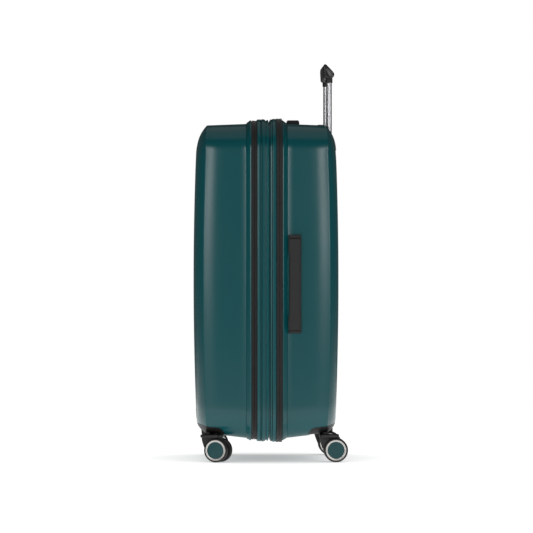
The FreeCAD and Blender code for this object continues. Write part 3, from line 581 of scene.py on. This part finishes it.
class SUITCASE_OT_bands(bpy.types.Operator):
    """Sweeps the zips, the middle frame, its bead and the sewn strips round the case"""
    bl_idname = "suitcase.bands"
    bl_label = "Zips and middle frame"

    def execute(self, context):
        gap = node_box("hinge_strip")[1].z - node_box("hinge_strip")[0].z
        zips = (("main_zip_front", -RIM_Y, "front_case", 6.5, gap),
                ("main_zip_rear", -ZIP_MIDDLE, "middle_frame", 6.5, gap),
                ("expander_zip_front", FRAME_HALF, "middle_frame", 0.4, 0.0),
                ("expander_zip_rear", ZIP_MIDDLE, "rear_case", 0.4, 0.0))
        for name, start, body, inset, opening in zips:
            inner = name in ("main_zip_front", "expander_zip_front")
            run = (RIM_Y - FRAME_HALF) / 2
            seam = start + run - 0.25 * MM if inner else start + 0.25 * MM
            edge = start if inner else start + run
            line = [(edge + (seam - edge) * share, (inset + drop) * MM) for share, drop in TAPE]
            line += [(seam, (inset + 0.9) * MM), (seam, (inset + 2.2) * MM)]
            band(name + "_tape", line, "tape", body, (name,), gap=opening, sharp=30.0)
        fh, g = FRAME_HALF / MM, 2.5
        ridge = [(-fh, 9.9), (-fh, g + 1.2), (-fh + 0.8, g + 0.3), (-fh + 2.2, g), (-fh + 7, g - 0.2),
                 (-fh + 7.6, g + 1.5), (-fh + 8.4, g - 0.2), (-12, g - 0.5), (-11.2, g + 1.6),
                 (-10.3, g - 0.7), (-6.5, g - 0.6), (-5.6, g + 0.2), (-3.4, g + 0.4), (-2.6, g + 2.6),
                 (-0.6, g + 2.8), (-0.5, 6.9), (4.0, 6.9), (4.1, 9.6), (8.0, 9.6), (8.1, g + 1.0),
                 (8.7, g), (11.2, g - 0.4), (11.9, g + 1.5), (12.7, g - 0.9), (16, g - 1.4),
                 (19.6, g - 1.3), (20.6, g - 0.5), (fh, g + 0.4), (fh, 9.9)]
        band("middle_frame_moulding", scaled(ridge), "shell", "middle_frame", ("middle_frame",),
             sharp=35.0)
        bead = [(2 + 2.0 * math.cos(math.radians(a)), 6 - 2.9 * max(0.0, math.sin(math.radians(a))))
                for a in range(0, 181, 20)]
        bead += [(0.0, 6.95), (4.0, 6.95)]
        band("frame_bead", scaled(bead), "bead", "middle_frame", ("frame_piping",))
        low, high = node_box("expander_gusset")
        folds = 9
        line = [(low.y + (high.y - low.y) * k / folds, (6.4 + 0.9 * (k % 2)) * MM)
                for k in range(folds + 1)]
        line += [(y, inset + 0.5 * MM) for y, inset in reversed(line)]
        gusset = band("gusset_cloth", line, "lining", None, ("expander_gusset",), "lining_fabric")
        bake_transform(gusset)
        return {"FINISHED"}


class SUITCASE_OT_hinge_strip(bpy.types.Operator):
    """Sews the cloth strip that joins the lid to the middle frame"""
    bl_idname = "suitcase.hinge_strip"
    bl_label = "Hinge strip"

    def execute(self, context):
        low, high = node_box("hinge_strip")
        columns, rows, points = 13, 60, []
        for skin in (0, 1):
            for row in range(rows + 1):
                z = low.z + (high.z - low.z) * row / rows
                for column in range(columns):
                    part = column / (columns - 1)
                    pucker = 0.25 * MM * math.sin(z / (7 * MM)) * math.sin(part * math.pi)
                    x = low.x + 0.4 * MM + pucker + skin * 0.9 * MM
                    points.append((x, low.y + (high.y - low.y) * part, z))
        count = (rows + 1) * columns
        faces = grid_faces(rows + 1, columns, False) + grid_faces(rows + 1, columns, False, count)
        edge = list(range(columns)) + [r * columns + columns - 1 for r in range(1, rows + 1)]
        edge += [rows * columns + c for c in range(columns - 2, -1, -1)]
        edge += [r * columns for r in range(rows - 1, 0, -1)]
        faces += [(a, b, count + b, count + a) for a, b in zip(edge, edge[1:] + edge[:1])]
        strip = new_piece("hinge_strip_cloth", points, faces, "tape", None, ("hinge_strip",),
                          "lining_fabric")
        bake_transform(strip)
        return {"FINISHED"}


# ---- casters
WHEEL_OFFSET = 18 * MM
# Fork leg from the side as (trail, z), and its pivot as (z, radius), both in mm.
FORK_LEG = ((-12.6, 61.8), (-11.6, 48), (-7.5, 36), (-2.5, 24), (3, 16), (13, 11.5), (26, 12.5), (35, 20),
            (36.5, 32), (33, 45), (30, 61.8))
FORK_STEM = ((62, 0.0), (62, 13), (62.9, 12.4), (62.95, 6), (76, 6), (76, 0.0))
FORK_HALF, HOOD_LOW, HOOD_HIGH = 10.8 * MM, 55.2 * MM, 62 * MM


def caster_matrix(word, place):
    """Puts the origin at a place of that caster, local X along its axle and local Y along its trail."""
    axle = Vector(JOINTS["roll_" + word]["axis"]).normalized()
    up = Vector((0, 0, 1))
    trail = up.cross(axle)
    turn = Matrix((axle, trail, up)).transposed().to_4x4()
    return Matrix.Translation(place) @ turn


class SUITCASE_OT_casters(bpy.types.Operator):
    """Builds the four swivelling forks with their twin wheels"""
    bl_idname = "suitcase.casters"
    bl_label = "Casters"

    def execute(self, context):
        for word in CASTERS:
            self.wheels(word)
            self.fork(word)
        return {"FINISHED"}

    def wheels(self, word):
        body, (low, high) = "wheels_" + word, node_box("caster_tyres_" + word)
        matrix = caster_matrix(word, (low + high) / 2)
        r = (high.z - low.z) / 2 / MM
        tread = [(-5.6, 19.1), (-5.9, r - 3.4), (-5.2, r - 1.2), (-3.6, r - 0.25), (-1.0, r),
                 (-0.6, r - 0.45), (0.6, r - 0.45), (1.0, r), (3.6, r - 0.25), (5.2, r - 1.1),
                 (5.95, r - 2.6), (6.0, r - 3.2), (5.3, r - 3.35), (5.3, 19.1)]
        ring = [(4.9, r - 3.4), (5.6, r - 3.9), (6.0, r - 4.4), (5.9, 20.2), (5.5, 19.0), (4.9, 18.9)]
        cap = [(-5.4, 2.6), (-5.4, 17.5), (-5.0, 18.9), (4.6, 18.85), (5.0, 18.3), (5.15, 17.4),
               (5.15, 6.0), (5.3, 4.5), (5.3, 0.0), (4.0, 0.0), (4.0, 2.6)]
        parts = (("tyre", tread, (f"caster_tyres_{word}",)), ("ring", ring, ()),
                 ("hub", cap, (f"caster_hubs_{word}",)))
        for side, side_word in ((-1, "inner"), (1, "outer")):
            flip = matrix @ Matrix.Translation((side * WHEEL_OFFSET, 0, 0))
            flip = flip @ Matrix.Scale(side, 4, (1, 0, 0))
            for kind, profile, nodes in parts:
                lathe(f"{kind}_{word}_{side_word}", scaled(profile), kind, body, flip, 96,
                      nodes if side > 0 else ())
        dress("caster_axle_" + word, "steel")

    def fork(self, word):
        pivot = Vector(JOINTS["swivel_" + word]["pos_m"])
        matrix = caster_matrix(word, Vector((pivot.x, pivot.y, 0)))
        body = "caster_" + word
        prism("fork_leg_" + word, rounded_outline(scaled(FORK_LEG), 5 * MM), -FORK_HALF, FORK_HALF,
              "black", body, rim=1.6 * MM, matrix=matrix, replaces=(f"caster_fork_{word}",))
        hood = box_outline(-24 * MM, -12.6 * MM, 24 * MM, 31 * MM, 9 * MM)
        prism("fork_hood_" + word, hood, HOOD_LOW, HOOD_HIGH, "black", body, "z", rim=1.4 * MM,
              matrix=matrix)
        upright = matrix @ Matrix.Rotation(math.radians(-90), 4, "Y")
        lathe("fork_stem_" + word, scaled(FORK_STEM), "black", body, upright, 40, slot="steel")


# ---- pull handle
COLLAR_HALF = 11 * MM
GUARD_PROUD, GUARD_SKIN = 2.5 * MM, 4.2 * MM


class SUITCASE_OT_pull_handle(bpy.types.Operator):
    """Builds the grip, its button and the guard, and finishes the tubes"""
    bl_idname = "suitcase.pull_handle"
    bl_label = "Pull handle"

    def execute(self, context):
        low, high = node_box("grip")
        front, back, base, top = low.y, high.y, low.z, high.z
        section = [(front + 1.2 * MM, base + 3.2 * MM), (front + 5 * MM, base + 0.2 * MM),
                   (back - 6 * MM, base + 0.2 * MM), (back - 0.6 * MM, base + 6 * MM),
                   (back - 0.1 * MM, base + 12 * MM), (back - 3.5 * MM, base + 17 * MM),
                   (front + 7.5 * MM, top - 2.4 * MM), (front + 4.0 * MM, top),
                   (front + 1.0 * MM, top - 2.2 * MM), (front, top - 9 * MM)]
        radii = [v * MM for v in (3, 3, 5, 5, 4, 5, 5, 2.2, 3, 6)]
        prism("grip_moulding", rounded_outline(section, radii, 6), low.x, high.x, "gloss_black",
              "trolley_inner", rim=3.0 * MM, replaces=("grip",))
        pad = rounded_outline([(front + 9 * MM, top - 4.2 * MM), (back - 4.6 * MM, base + 18.8 * MM),
                               (back - 5.4 * MM, base + 17.6 * MM), (front + 8.4 * MM, top - 5.6 * MM)],
                              0.5 * MM)
        prism("grip_pad", pad, low.x + 26 * MM, high.x - 26 * MM, "soft", "trolley_inner",
              rim=0.5 * MM)
        b_low, b_high = node_box("grip_button")
        button = box_outline(b_low.x, b_low.y, b_high.x, b_high.y, 2.6 * MM)
        prism("grip_button_cap", button, b_low.z, b_high.z, "black", "grip_button", "z", rim=0.9 * MM,
              replaces=("grip_button",))
        low, high = node_box("grip_collars")
        for side, side_word in SIDES:
            x = side * (middle_of("inner_tubes").x + node_box("inner_tubes")[1].x - 9.5 * MM)
            outline = box_outline(x - COLLAR_HALF, low.y, x + COLLAR_HALF, high.y, 5 * MM)
            prism("grip_collar_" + side_word, outline, low.z, high.z + 1 * MM, "black", "trolley_inner",
                  "z", rim=0.8 * MM, replaces=("grip_collars",) if side > 0 else ())
        for node, material in (("inner_tubes", "aluminium"), ("outer_tubes", "aluminium"),
                               ("tube_bushes", "black"), ("trolley_sleeves", "black"),
                               ("release_rods", "steel")):
            dress(node, material)
        self.guard()
        return {"FINISHED"}

    def guard(self):
        """Guard and tray round the grip recess, one skin wrapped over the corner."""
        sizes = bpy.context.scene.suitcase_sizes
        low, high = node_box("handle_bezel")
        arc_y = RIM_Y + SHELL_DEPTH - sizes.crown - sizes.edge_radius
        arc_z = TOP - CREASE_INSET - sizes.edge_radius * HALF_SINE

        def arc(radius, turns):
            return [(arc_y + radius * math.cos(turn), arc_z + radius * math.sin(turn))
                    for turn in map(math.radians, turns)]

        outer = arc(sizes.edge_radius + GUARD_PROUD, range(0, 46, 3))
        outer += [(low.y + 16 * MM, high.z - 0.3 * MM), (low.y + 6 * MM, high.z - 0.2 * MM),
                  (low.y, high.z - 1.8 * MM), (low.y, high.z - GUARD_SKIN - 1 * MM)]
        inner = arc(sizes.edge_radius - GUARD_SKIN + GUARD_PROUD, range(45, -1, -3))
        guard = prism("handle_guard", outer + inner, low.x, high.x, "black", "rear_case", rim=1.2 * MM,
                      replaces=("handle_bezel",))
        bush_low, bush_high = node_box("tube_bushes")
        floor = bush_low.z
        recess = node_box("grip")[1].x + 3 * MM
        front, base, back = node_box("grip")[0].y - 3.5 * MM, low.z + 11.5 * MM, high.y - 9 * MM
        tray = prism("guard_tray", [(front - 3 * MM, base), (back, base), (back, floor + 4 * MM),
                                    (high.y - 21 * MM, high.z - 16 * MM),
                                    (front - 3 * MM, high.z - 2.5 * MM)],
                     -recess - 3 * MM, recess + 3 * MM, "black", "rear_case")
        for piece in (guard, tray):
            carve(piece, box_outline(front, floor, high.y + 0.03, high.z + 0.05), -recess, recess)
        for side, _ in SIDES:
            x = side * (bush_high.x - 11 * MM)
            carve(tray, box_outline(x - 12 * MM, bush_low.y - 0.5 * MM, x + 12 * MM,
                                    bush_high.y + 0.5 * MM, 6 * MM), floor - 0.03, floor + 0.02, "z")
        for piece in (guard, tray):
            finish_piece(piece, "black", None)


# ---- carry handles
HANDLE_RISE, HANDLE_HALF = 10 * MM, 102.5 * MM
STRAP_WIDE, STRAP_WAIST = 14 * MM, 12.3 * MM
POST_PLACE, MOUNT_NEAR, MOUNT_FAR = 89.5 * MM, 69.5 * MM, 109.5 * MM


def handle_matrix(word):
    """Puts the origin on the shell under a carry handle, local X along it and local Z outwards."""
    low, high = node_box(word + "_mounts")
    y, reach = (low.y + high.y) / 2, node_box(word)[1]
    if word == "top_handle":
        return Matrix.Translation((0, y, reach.z - HANDLE_RISE))
    place = Matrix.Translation((reach.x - HANDLE_RISE, y, (low.z + high.z) / 2))
    return place @ Matrix.Rotation(math.radians(90), 4, "Y")


def ease(share):
    """0 to 1 with a slow start and end."""
    share = min(1.0, max(0.0, share))
    return share * share * (3 - 2 * share)


class SUITCASE_OT_carry_handles(bpy.types.Operator):
    """Builds the two spring-back carry handles and their end mounts"""
    bl_idname = "suitcase.carry_handles"
    bl_label = "Carry handles"

    def execute(self, context):
        for word in ("top_handle", "side_handle"):
            matrix = handle_matrix(word)
            self.strap(word, matrix)
            for side, side_word in SIDES:
                self.mount(word, matrix, side, side_word)
            # Black plate under the strap, a dark sheet laid where the shade beneath the handle falls:
            # painted shadow.
            painted_shadow_seat = box_outline(-71 * MM, -14.2 * MM, 71 * MM, 14.2 * MM, 1 * MM)
            prism(word + "_seat", painted_shadow_seat, -1 * MM, 0.8 * MM, "black", "rear_case", "z", rim=0.3 * MM,
                  matrix=matrix)
        return {"FINISHED"}

    def strap(self, word, matrix):
        """A moulded strap, narrower and thinner between its two posts, with rounded ends."""
        stations, points = 120, []
        for i in range(stations + 1):
            x = -HANDLE_HALF + 2 * HANDLE_HALF * i / stations
            spread = (STRAP_WIDE - STRAP_WAIST) * ease((abs(x) - 64 * MM) / (7 * MM))
            side_low, side_high = -(STRAP_WAIST + spread), STRAP_WAIST + spread * 0.6 + 0.4 * MM
            under = 6.4 * MM - 4.6 * MM * ease((abs(x) - 60 * MM) / (34 * MM))
            end = max(0.0, (abs(x) - (HANDLE_HALF - 3 * MM)) / (3 * MM))
            round_end = 1 - math.sqrt(max(0.0, 1 - min(1.0, end) ** 2))
            top, shrink = HANDLE_RISE - 2.2 * MM * round_end, 1.2 * MM * round_end
            outline = rounded_outline([(side_low + shrink, under), (side_high - shrink, under),
                                       (side_high - shrink, top - 1.6 * MM), (side_high - 2.2 * MM, top),
                                       (side_low + 2.2 * MM, top), (side_low + shrink, top - 1.6 * MM)],
                                      1.2 * MM, 3)
            points += [(x, y, z) for y, z in outline]
        rows, ring = stations + 1, len(outline)
        new_piece(word + "_strap", points, grid_faces(rows, ring) + end_faces(rows, ring), "soft", word,
                  (word,), matrix=matrix)
        for side, side_word in SIDES:
            post = POST_PLACE * side
            outline = box_outline(post - 8 * MM, -5 * MM, post + 8 * MM, 5 * MM, 1 * MM)
            prism(f"{word}_post_{side_word}", outline, -18 * MM, 3 * MM, "black", word, "z",
                  rim=0.4 * MM, matrix=matrix)

    def mount(self, word, matrix, side, side_word):
        low, high = sorted((side * MOUNT_NEAR, side * MOUNT_FAR))
        outline = box_outline(low, -14.3 * MM, high, 14.3 * MM, 3.5 * MM)
        base = prism(f"{word}_mount_{side_word}", outline, -6 * MM, 1.3 * MM, "black", "rear_case", "z",
                     rim=0.6 * MM, matrix=matrix, replaces=(word + "_mounts",) if side > 0 else ())
        post = POST_PLACE * side
        carve(base, box_outline(post - 8.4 * MM, -5.4 * MM, post + 8.4 * MM, 5.4 * MM, 1 * MM),
              -20 * MM, 20 * MM, "z", matrix)
        finish_piece(base, "black", None)
        near, far = sorted((side * 103.1 * MM, side * MOUNT_FAR))
        cap = rounded_outline(scaled([(-14, 0.6), (14, 0.6), (14, 5.4), (11.5, 7.4), (-11.5, 7.4),
                                      (-14, 5.4)]), 1 * MM)
        prism(f"{word}_cap_{side_word}", cap, near, far, "soft", "rear_case", rim=1.0 * MM,
              matrix=matrix, slot="black_plastic")


# ---- lock, sliders and pulls
class SUITCASE_OT_lock(bpy.types.Operator):
    """Builds the combination lock in the top of the lid"""
    bl_idname = "suitcase.lock"
    bl_label = "Lock"

    def execute(self, context):
        low, high = node_box("lock_housing")
        y, top = (low.y + high.y) / 2, high.z
        plate = prism("lock_body", box_outline(low.x, low.y, high.x, high.y, 4 * MM), low.z, top,
                      "gloss_black", "front_case", "z", rim=0.8 * MM, replaces=("lock_housing",))
        gap = 0.3 * MM
        for index in (1, 2, 3):
            d_low, d_high = node_box(f"lock_dial_{index}")
            carve(plate, box_outline(d_low.x - gap, y - 7.6 * MM, d_high.x + gap, y + 7.6 * MM, gap),
                  low.z + 2 * MM, top + 5 * MM, "z")
            self.dial(index, (d_low + d_high) / 2, (d_high.z - d_low.z) / 2, d_high.x - d_low.x)
        b_low, b_high = node_box("lock_button")
        carve(plate, box_outline(b_low.x - gap, b_low.y - gap, b_high.x + gap, b_high.y + gap, 1.8 * MM),
              low.z + 4 * MM, top + 5 * MM, "z")
        k_low, k_high = node_box("lock_keyway")
        centre, radius = (k_low + k_high) / 2, (k_high.x - k_low.x) / 2
        carve(plate, circle_outline(centre, radius + 0.1 * MM), low.z + 4 * MM, top + 5 * MM, "z")
        finish_piece(plate, "gloss_black", None)
        prism("lock_button_cap", box_outline(b_low.x, b_low.y, b_high.x, b_high.y, 1.5 * MM),
              b_low.z + 3 * MM, b_high.z, "soft", "lock_button", "z", rim=0.5 * MM,
              replaces=("lock_button",), slot="black_plastic")
        plug = prism("lock_key_core", circle_outline(centre, radius), k_low.z, k_high.z, "zinc",
                     "lock_keyway", "z", rim=0.4 * MM, replaces=("lock_keyway",))
        carve(plug, box_outline(centre.x - 2.6 * MM, y - 0.6 * MM, centre.x + 2.6 * MM, y + 0.6 * MM,
                                gap), k_high.z - 4 * MM, k_high.z + 2 * MM, "z")
        finish_piece(plug, "zinc", None)
        dress("dial_axle", "steel")
        return {"FINISHED"}

    def dial(self, index, centre, radius, width):
        """A thumb wheel with a notch between each of its ten places."""
        steps, half, bore = 120, width / 2, 1.1 * MM
        turns = [2 * math.pi * step / steps for step in range(steps)]
        points = []
        for x, fall in ((-half, 0.7 * MM), (-half + 0.5 * MM, 0.0), (half - 0.5 * MM, 0.0),
                        (half, 0.7 * MM)):
            for angle in turns:
                notch = max(0.0, math.cos(angle * 10)) ** 3 * 0.55 * MM
                r = radius - fall - notch
                points.append((x, r * math.cos(angle), r * math.sin(angle)))
        for x in (half, -half):
            points += [(x, bore * math.cos(angle), bore * math.sin(angle)) for angle in turns]
        node = f"lock_dial_{index}"
        new_piece(f"dial_{index}", points, grid_faces(6, steps, looped=True), "ring", node, (node,),
                  "black_plastic", matrix=Matrix.Translation(centre))


# Slider plate as (along, across), its bridge as (across, height) and the pull's tab, all in mm.
SLIDER_PLATE = ((-5.5, -2.6), (-3.2, -4.8), (4.2, -4.8), (5.5, -3.6), (5.5, 3.6), (4.2, 4.8), (-3.2, 4.8),
                (-5.5, 2.6))
SLIDER_BRIDGE = ((-4.0, 2.4), (-2.7, 2.4), (-1.6, 3.2), (1.6, 3.2), (2.7, 2.4), (4.0, 2.4), (3.2, 5.2),
                 (1.5, 6.4), (-1.5, 6.4), (-3.2, 5.2))
PULL_TAB = ((-3.9, -1.5), (3.9, -1.5), (3.9, 7), (3.3, 12), (3.9, 20), (3.9, 21.5), (-3.9, 21.5),
            (-3.9, 20), (-3.3, 12), (-3.9, 7))
PULL_RISE = 4.6


class SUITCASE_OT_zip_sliders(bpy.types.Operator):
    """Builds the three zip sliders with their pulls"""
    bl_idname = "suitcase.zip_sliders"
    bl_label = "Zip sliders"

    def execute(self, context):
        for word in ("left", "right"):
            centre = middle_of("slider_" + word)
            matrix = Matrix.Translation((centre.x, centre.y, node_box("slider_" + word)[0].z - 0.3 * MM))
            self.slider("slider_" + word, "pull_" + word, matrix)
        centre = middle_of("expander_slider")
        matrix = Matrix.Translation((node_box("expander_slider")[1].x + 0.3 * MM, centre.y, centre.z))
        matrix = matrix @ Matrix.Rotation(math.radians(-90), 4, "Y")
        self.slider("expander_slider", "expander_pull", matrix)
        return {"FINISHED"}

    def slider(self, slider, pull, matrix):
        nose = rounded_outline(scaled(SLIDER_PLATE), 1.2 * MM, 3)
        prism(slider + "_plate", nose, 0.3 * MM, 2.6 * MM, "zinc", slider, "z", rim=0.5 * MM,
              matrix=matrix, replaces=(slider,))
        prism(slider + "_bridge", rounded_outline(scaled(SLIDER_BRIDGE), 0.5 * MM, 3), -1.3 * MM,
              1.3 * MM, "zinc", slider, rim=0.3 * MM, matrix=matrix)
        tab = rounded_outline(scaled(PULL_TAB), 1.1 * MM, 3)
        plate = prism(pull + "_tab", tab, (PULL_RISE - 0.25) * MM, (PULL_RISE + 1.25) * MM, "zinc", pull,
                      "z", rim=0.35 * MM, matrix=matrix, replaces=(pull,))
        for hole in ((-1.8, 0.9, 1.8, 5.6, 0.8), (-1.6, -3, 1.6, 2, 0.4)):
            carve(plate, box_outline(*[v * MM for v in hole]), 0.0, 0.02, "z", matrix)
        finish_piece(plate, "zinc", None)
        lathe(pull + "_pin", scaled([(-1.7, 0.0), (-1.7, 0.6), (1.7, 0.6), (1.7, 0.0)]), "zinc", pull,
              matrix @ Matrix.Translation((0, 0, PULL_RISE * MM)), 24)


# ---- inside
# Insets of the lining's wall and floor from the band, and the thickness of its cloth.
WALL_CLOTH, FLOOR_CLOTH, CLOTH = 17 * MM, 27 * MM, 0.8 * MM
WEBBING, WEBBING_HALF = 1.3 * MM, 12.5 * MM


class SUITCASE_OT_inside(bpy.types.Operator):
    """Lines both halves and lays the packing straps with their buckle"""
    bl_idname = "suitcase.inside"
    bl_label = "Inside"

    def execute(self, context):
        self.lining("rear_lining_cloth", 1, node_box("rear_lining")[0].y, "rear_case", "rear_lining")
        self.lining("divider_cloth", -1, -node_box("divider_panel")[1].y, "front_case", "divider_panel")
        self.straps()
        return {"FINISHED"}

    def lining(self, name, facing, floor, body, node):
        """Side walls of cloth that turn into a floor panel with shallow folds."""
        sizes = bpy.context.scene.suitcase_sizes
        depth = floor - RIM_Y
        rows = [(part * depth, WALL_CLOTH + 5 * MM * part) for part in (0.02, 0.25, 0.5, 0.75, 0.93)]
        rows += [(depth * 0.98, 23.5 * MM), (depth, FLOOR_CLOTH)]
        inset = FLOOR_CLOTH
        while inset < HALF_WIDTH:
            inset = min(inset + 6 * MM, HALF_WIDTH)
            rows.append((depth, inset))
        rings = []
        for skin in (0.0, CLOTH):
            layer = []
            for d, edge in rows:
                lift = 34 * MM if facing > 0 and d > depth * 0.6 else 3 * MM
                foot = edge + lift * min(1.0, d / depth)
                radius = max(0.0, sizes.corner_radius - edge)
                ring = []
                for x, z, _ in case_ring(min(edge, HALF_WIDTH), radius, SHELL_DETAIL, foot, edge):
                    fold = noise.noise(Vector((x * 14, z * 5, facing * 3.0 + d * 9)))
                    lift = fold * 2.2 * MM * min(1.0, (edge - WALL_CLOTH) / (30 * MM))
                    ring.append((x, facing * (RIM_Y + d + skin - max(-1.5 * MM, lift) - 1.6 * MM), z))
                layer.append(ring)
            rings += layer if skin == 0.0 else list(reversed(layer))
        points = [p for ring in rings for p in ring]
        faces = grid_faces(len(rings), len(rings[0]), looped=True)
        cloth = new_piece(name, points, faces, "lining", body, (node,), sharp=60.0)

    def straps(self):
        low, high = node_box("packing_straps")
        b_low, b_high = node_box("strap_buckle")
        y = low.y - 0.4 * MM
        run_x, run_z = (high.x - low.x) / 2 - 14 * MM, (high.z - low.z) / 2
        steps = 80
        for index, lean in enumerate((-1, 1)):
            along = Vector((lean * run_x, run_z)).normalized()
            across = Vector((along.y, -along.x)) * WEBBING_HALF
            points = []
            for step in range(steps + 1):
                part = 2 * step / steps - 1
                middle = Vector((lean * run_x * part, MIDDLE + run_z * part))
                rise = 3.2 * MM * math.exp(-(part * 7) ** 2) + 0.5 * MM * math.sin(part * 9 + index)
                for side, lift in ((-1, 0.0), (1, 0.0), (1, WEBBING), (-1, WEBBING)):
                    spot = middle + across * side
                    points.append((spot.x, y - 2.4 * MM - rise + lift - index * 1.5 * MM, spot.y))
            faces = grid_faces(steps + 1, 4) + end_faces(steps + 1, 4)
            new_piece(f"packing_strap_{index + 1}", points, faces, "webbing", "rear_case",
                      ("packing_straps",) if index else (), sharp=50.0)
        left, right, foot, head, wide, tall = b_low.x, b_high.x, b_low.z, b_high.z, 9 * MM, 6 * MM
        outline = rounded_outline([(left, foot + tall), (left + wide, foot), (right - wide, foot),
                                   (right, foot + tall), (right, head - tall), (right - wide, head),
                                   (left + wide, head), (left, head - tall)], 5 * MM)
        prism("buckle_plate", outline, b_low.y, b_high.y - 1 * MM, "black", "rear_case", "y",
              rim=2 * MM, replaces=("strap_buckle",))


# ---- stage
LENS_MM, CAMERA_AWAY, CAMERA_TURN = 301.8, 10.0, 1.2
FLOOR_REACH, WHITE = 3.2, (1.0, 1.0, 1.0, 1.0)


def softbox(name, place, target, width, height, power):
    light = bpy.data.lights.new(name, "AREA")
    light.shape, light.size, light.size_y, light.energy = "RECTANGLE", width, height, power
    lamp = bpy.data.objects.new(name, light)
    lamp.location = place
    lamp.rotation_euler = (Vector(target) - Vector(place)).to_track_quat("-Z", "Y").to_euler()
    bpy.context.scene.collection.objects.link(lamp)


def studio_floor():
    """A pale floor that glows with no lamp under it, a painted glow; ambient occlusion dims the glow
    where something stands close to it, a painted contact shadow.
    """
    mesh = bpy.data.meshes.new("floor")
    corners = box_outline(-FLOOR_REACH, -FLOOR_REACH, FLOOR_REACH, FLOOR_REACH)
    mesh.from_pydata([(x, y, 0) for x, y in corners], [], [(0, 1, 2, 3)])
    opal = bpy.data.materials.new("glowing_floor_painted_shadow")
    tree = new_tree(opal)
    # Painted contact shadow: ambient occlusion turns the floor's glow down near the case.
    shade = add_node(tree, "AmbientOcclusion", values={"Distance": 0.3})
    glow = add_node(tree, "MapRange", values={"From Min": 0.1, "From Max": 0.85, "To Min": 0.4,
                                              "To Max": 0.98}, links={"Value": shade.outputs["AO"]})
    surface = add_node(tree, "BsdfPrincipled", values={
        "Base Color": (0.6, 0.6, 0.6, 1.0), "Roughness": 0.6, "Specular IOR Level": 0.2,
        "Emission Color": WHITE}, links={"Emission Strength": glow.outputs[0]})
    add_node(tree, "OutputMaterial", links={"Surface": surface.outputs[0]})
    mesh.materials.append(opal)
    return bpy.data.objects.new("floor", mesh)


class SUITCASE_OT_stage(bpy.types.Operator):
    """Sets up the pale floor, the studio lights and the camera"""
    bl_idname = "suitcase.stage"
    bl_label = "Stage"

    def execute(self, context):
        scene = context.scene
        scene.view_settings.view_transform = "Standard"
        ground = studio_floor()
        scene.collection.objects.link(ground)
        world = bpy.data.worlds.new("studio")
        tree = new_tree(world)
        seen = add_node(tree, "LightPath").outputs["Is Camera Ray"]
        strength = add_node(tree, "MapRange", values={"To Min": 0.06, "To Max": 1.0},
                            links={"Value": seen})
        back = add_node(tree, "Background", values={"Color": WHITE},
                        links={"Strength": strength.outputs[0]})
        add_node(tree, "OutputWorld", links={"Surface": back.outputs[0]})
        scene.world = world
        for side, side_word in SIDES:
            softbox(side_word + "_softbox", (2.6, side * 0.9, 0.98), (0.25, side * 0.12, 0.7),
                    0.28, 1.1, 9)
        softbox("overhead", (0.0, 0.0, 2.8), (0.0, 0.0, 0.0), 3.0, 3.0, 11)
        turn = math.radians(CAMERA_TURN)
        target = Vector((0.2, 0.0, 0.4375))
        camera = bpy.data.objects.new("camera", bpy.data.cameras.new("camera"))
        camera.data.lens = LENS_MM
        camera.data.clip_end = 100.0
        camera.location = target + Vector((math.cos(turn), -math.sin(turn), 0)) * CAMERA_AWAY
        camera.rotation_euler = (target - camera.location).to_track_quat("-Z", "Y").to_euler()
        scene.collection.objects.link(camera)
        scene.camera = camera
        return {"FINISHED"}


class SUITCASE_PT_panel(bpy.types.Panel):
    """Lists the sizes, colours and pieces of the suitcase"""
    bl_idname = "SUITCASE_PT_panel"
    bl_label = "Suitcase"
    bl_space_type = "VIEW_3D"
    bl_region_type = "UI"
    bl_category = "Suitcase"

    def draw(self, context):
        for group in (context.scene.suitcase_sizes, context.scene.suitcase_colours):
            for name in group.__annotations__:
                self.layout.prop(group, name)
        for operator in OPERATORS:
            self.layout.operator(operator.bl_idname)


OPERATORS = (SUITCASE_OT_stage, SUITCASE_OT_shells, SUITCASE_OT_bands, SUITCASE_OT_hinge_strip,
             SUITCASE_OT_casters, SUITCASE_OT_pull_handle, SUITCASE_OT_carry_handles, SUITCASE_OT_lock,
             SUITCASE_OT_zip_sliders, SUITCASE_OT_inside)
CLASSES = (SuitcaseSizes, SuitcaseColours) + OPERATORS + (SUITCASE_PT_panel,)


def register():
    for item in CLASSES:
        bpy.utils.register_class(item)
    bpy.types.Scene.suitcase_sizes = PointerProperty(type=SuitcaseSizes)
    bpy.types.Scene.suitcase_colours = PointerProperty(type=SuitcaseColours)


def unregister():
    del bpy.types.Scene.suitcase_colours
    del bpy.types.Scene.suitcase_sizes
    for item in reversed(CLASSES):
        bpy.utils.unregister_class(item)


def main():
    register()
    scene = bpy.context.scene
    MATERIALS.update(material_set(scene.suitcase_colours, scene.suitcase_sizes.weave_pitch))
    for operator in OPERATORS:
        getattr(bpy.ops.suitcase, operator.bl_idname.split(".")[1])()


if __name__ == "__main__":
    main()
